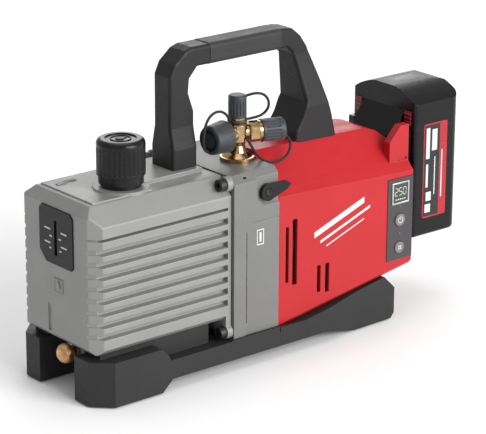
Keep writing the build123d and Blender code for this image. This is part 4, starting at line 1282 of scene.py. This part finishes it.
@dataclass
class Housing:
    """Control panel details and the plain stripes of the motor housing."""

    wardrobe: Wardrobe
    centre: float = 337.0
    panel_face: float = -53.8
    display_z: float = 119.4
    side: float = 53.2

    def add_display(self) -> None:
        """Adds the display's frame and its figures."""
        outward = Vector((0, -1, 0))
        bezel = ring_plate(
            "display_frame", place(self.centre - 10.2, -54.7, self.display_z - 10.2),
            place(self.centre + 10.2, self.panel_face + HIDDEN_SEAT, self.display_z + 10.2), outward, 1.6,
        )
        soften(bezel, 0.35, 3)
        dress(bezel, self.wardrobe.get(SILVER), "root")
        strokes = []
        for digit, lit in enumerate(("abged", "afgcd", "abcdef")):
            left = self.centre - 6.9 + 4.9 * digit
            for name, (dx, dz, tall) in {
                "a": (0, 3.4, False), "g": (0, 0, False), "d": (0, -3.4, False),
                "b": (1.7, 1.7, True), "c": (1.7, -1.7, True),
                "f": (-1.7, 1.7, True), "e": (-1.7, -1.7, True),
            }.items():
                if name not in lit:
                    continue
                x, z = left + 2 + dx, self.display_z + 1.2 + dz
                half_x, half_z = (0.38, 1.35) if tall else (1.35, 0.38)
                stroke = add_block(
                    "stroke", place(x - half_x, FIGURE_FRONT, z - half_z),
                    place(x + half_x, FIGURE_SEAT, z + half_z),
                )
                push_out(stroke, outward, 0.1, 0.02)
                strokes.append(stroke)
        for index in range(5):
            x = self.centre - 6.0 + 2.6 * index
            mark = add_block(
                "mark", place(x, FIGURE_FRONT, self.display_z - 6.6),
                place(x + 1.7, FIGURE_SEAT, self.display_z - 5.4),
            )
            push_out(mark, outward, 0.1, 0.02)
            strokes.append(mark)
        dress(join("display_figures", strokes), self.wardrobe.get(FIGURES), "root")

    def add_icons(self) -> None:
        """Adds the power mark and the mode mark on their buttons."""
        outward = Vector((0, -1, 0))
        clear_selection()
        bpy.ops.mesh.primitive_torus_add(
            major_radius=2.7 * MM, minor_radius=0.45 * MM, major_segments=32, minor_segments=8,
            location=place(BUTTON_STATION, -54.95, POWER_Z), rotation=(math.pi / 2, 0, 0),
        )
        arc = bpy.context.object
        settle(arc)
        middle = place(BUTTON_STATION, 0, POWER_Z)
        pick_faces(arc, lambda p: p.center.z > middle.z + 1.9 * MM and abs(p.center.x - middle.x) < 1.3 * MM)
        bpy.ops.mesh.delete(type="FACE")
        bpy.ops.mesh.select_all(action="SELECT")
        bpy.ops.mesh.fill_holes(sides=0)
        back_to_objects()
        stem = add_block(
            "stem", place(BUTTON_STATION - 0.45, -55.25, POWER_Z + 0.4),
            place(BUTTON_STATION + 0.45, -54.8, POWER_Z + 4.0),
        )
        push_out(stem, outward, 0.15, 0.1)
        power = join("power_mark", [arc, stem])
        bpy.ops.object.shade_smooth_by_angle(angle=math.radians(40))
        dress(power, self.wardrobe.get(INK), "power_button")
        tiles = []
        for dx in (-1.9, 0.3):
            for dz in (-1.9, 0.3):
                tile = add_block(
                    "tile", place(BUTTON_STATION + dx, -55.0, MODE_Z + dz),
                    place(BUTTON_STATION + 1.6 + dx, -54.6, MODE_Z + 1.6 + dz),
                )
                push_out(tile, outward, 0.2, 0.08)
                tiles.append(tile)
        dress(join("mode_mark", tiles), self.wardrobe.get(INK), "mode_button")

    def add_lamps(self) -> None:
        """Adds the two indicator lamps of the panel."""
        outward = Vector((0, -1, 0))
        lamps = []
        for z in LAMP_ZS:
            lamp = add_rod("lamp", place(BUTTON_STATION, -53.1, z), 1.4, 1.8, Axis.Y, 20)
            push_out(lamp, outward, 0.35, 0.3, again=True)
            soften(lamp, 0.15)
            lamps.append(lamp)
        dress(join("indicator_lamps", lamps), self.wardrobe.get(LAMP), "root")

    def add_stripes(self) -> None:
        """Adds three plain slanting stripes on each side of the housing."""
        outward = Vector((0, -1, 0))
        stripes = []
        for start, length, low, high in (
            (236.0, 58.0, 98.0, 103.5), (243.0, 58.0, 92.0, 94.5), (250.0, 44.0, 87.5, 88.8),
        ):
            stripe = add_block(
                "stripe", place(start, -self.side - 0.2, low),
                place(start + length, -self.side + HIDDEN_SEAT, high),
            )
            push_out(stripe, outward, 0.3, 0.05)
            middle = place(start, 0, 0).x
            for vertex in stripe.data.vertices:
                vertex.co.z += (vertex.co.x - middle) * 0.36
            stripes.append(stripe)
        near = join("stripes_near", stripes)
        far = copied(near, "stripes_far", Vector((0, 0, 0)), mirror_y=True)
        for piece in (near, far):
            dress(piece, self.wardrobe.get(INK), "root")

    def build(self) -> None:
        """Makes the panel's details and the stripes."""
        self.add_display()
        self.add_icons()
        self.add_lamps()
        self.add_stripes()


# ---------------------------------------------------------------- battery


@dataclass
class Battery:
    """Labels and charge lamps of the battery."""

    wardrobe: Wardrobe
    side: float = 41.5
    left: float = 376.0
    right: float = 405.0
    low: float = 83.0
    high: float = 172.0
    back: float = 420.4

    def label_part(
        self, name: str, spans: tuple[float, float, float, float], height: float
    ) -> bpy.types.Object:
        """Makes one flat part of the label.

        Args:
            name: Name of the part.
            spans: First and last station, lowest and highest Z.
            height: How far it stands off the battery's side in millimetres.

        Returns:
            The part on the near side.
        """
        first, last, bottom, top = spans
        part = add_block(
            name, place(first, -self.side - height, bottom), place(last, -self.side + HIDDEN_SEAT, top)
        )
        pick_faces(part, facing(Vector((0, -1, 0))))
        bpy.ops.mesh.inset(thickness=0.12 * MM, depth=0.0)
        bpy.ops.transform.translate(value=(0, -0.02 * MM, 0))
        back_to_objects()
        return part

    def add_label(self) -> None:
        """Adds the label with its red ground, dark field, stripe and plain bars."""
        ground = self.label_part("label_ground_near", (self.left, self.right, self.low, self.high), 0.12)
        take(ground)
        corner = ground.modifiers.new("round corners", "BEVEL")
        corner.width = 3.0 * MM
        corner.segments = 4
        corner.affect = "EDGES"
        corner.limit_method = "WEIGHT"
        weights = ground.data.attributes.new("bevel_weight_edge", "FLOAT", "EDGE")
        for edge in ground.data.edges:
            ends = [ground.data.vertices[v].co for v in edge.vertices]
            span = ends[1] - ends[0]
            if abs(span.y) > 0.9 * span.length:
                weights.data[edge.index].value = 1.0
        bpy.ops.object.modifier_apply(modifier=corner.name)
        inner = (self.left + 1.2, self.right - 9.0, self.low + 1.5, self.high - 1.5)
        fields = self.label_part("label_field_near", inner, 0.22)
        bars = []
        for first, last, bottom, top in (
            (379.0, 383.6, 139.0, 168.0), (386.2, 392.6, 146.0, 166.0), (379.4, 382.2, 112.0, 134.0),
            (379.0, 386.0, 88.0, 96.0), (380.0, 386.5, 99.0, 107.5), (389.6, 390.8, 104.0, 140.0),
        ):
            bars.append(self.label_part("bar", (first, last, bottom, top), 0.32))
        marks = join("label_bars_near", bars)
        stripe = self.label_part("label_stripe_near", (398.2, 399.6, 100.0, 145.0), 0.24)
        for near, finish, slot in (
            (ground, LABEL_RED, "latch_red"), (fields, LABEL_BLACK, "pack_plastic"),
            (marks, INK, "button_grey"), (stripe, INK, "button_grey"),
        ):
            far = copied(near, near.name.replace("near", "far"), Vector((0, 0, 0)), mirror_y=True)
            for piece in (near, far):
                dress(piece, self.wardrobe.get(finish), "battery")

    def add_gauge(self) -> None:
        """Adds the four charge lamps on the back."""
        outward = Vector((1, 0, 0))
        lamps = []
        for index in range(4):
            lamp = add_rod("lamp", place(self.back - 0.7, -9 + 6 * index, 138.0), 1.25, 1.5, Axis.X, 18)
            push_out(lamp, outward, 0.3, 0.2, again=True)
            soften(lamp, 0.12)
            lamps.append(lamp)
        dress(join("gauge_lamps", lamps), self.wardrobe.get(LAMP), "battery")

    def build(self) -> None:
        """Makes the label and the lamps."""
        self.add_label()
        self.add_gauge()


def main() -> None:
    """Builds the studio and every sub-assembly in order."""
    logging.basicConfig(level=logging.INFO, format="%(name)s: %(message)s")
    studio = Studio()
    studio.add_camera()
    wardrobe = Wardrobe()
    intake = Intake(wardrobe)
    intake.build_cords()
    wardrobe.dress_frame()
    for assembly in (intake, OilCase(wardrobe), Flange(wardrobe), Housing(wardrobe), Battery(wardrobe)):
        assembly.build()
        LOG.info("%s is made", type(assembly).__name__)
    studio.add_lights()
    studio.add_floor()
    clear_selection()


if __name__ == "__main__":
    main()
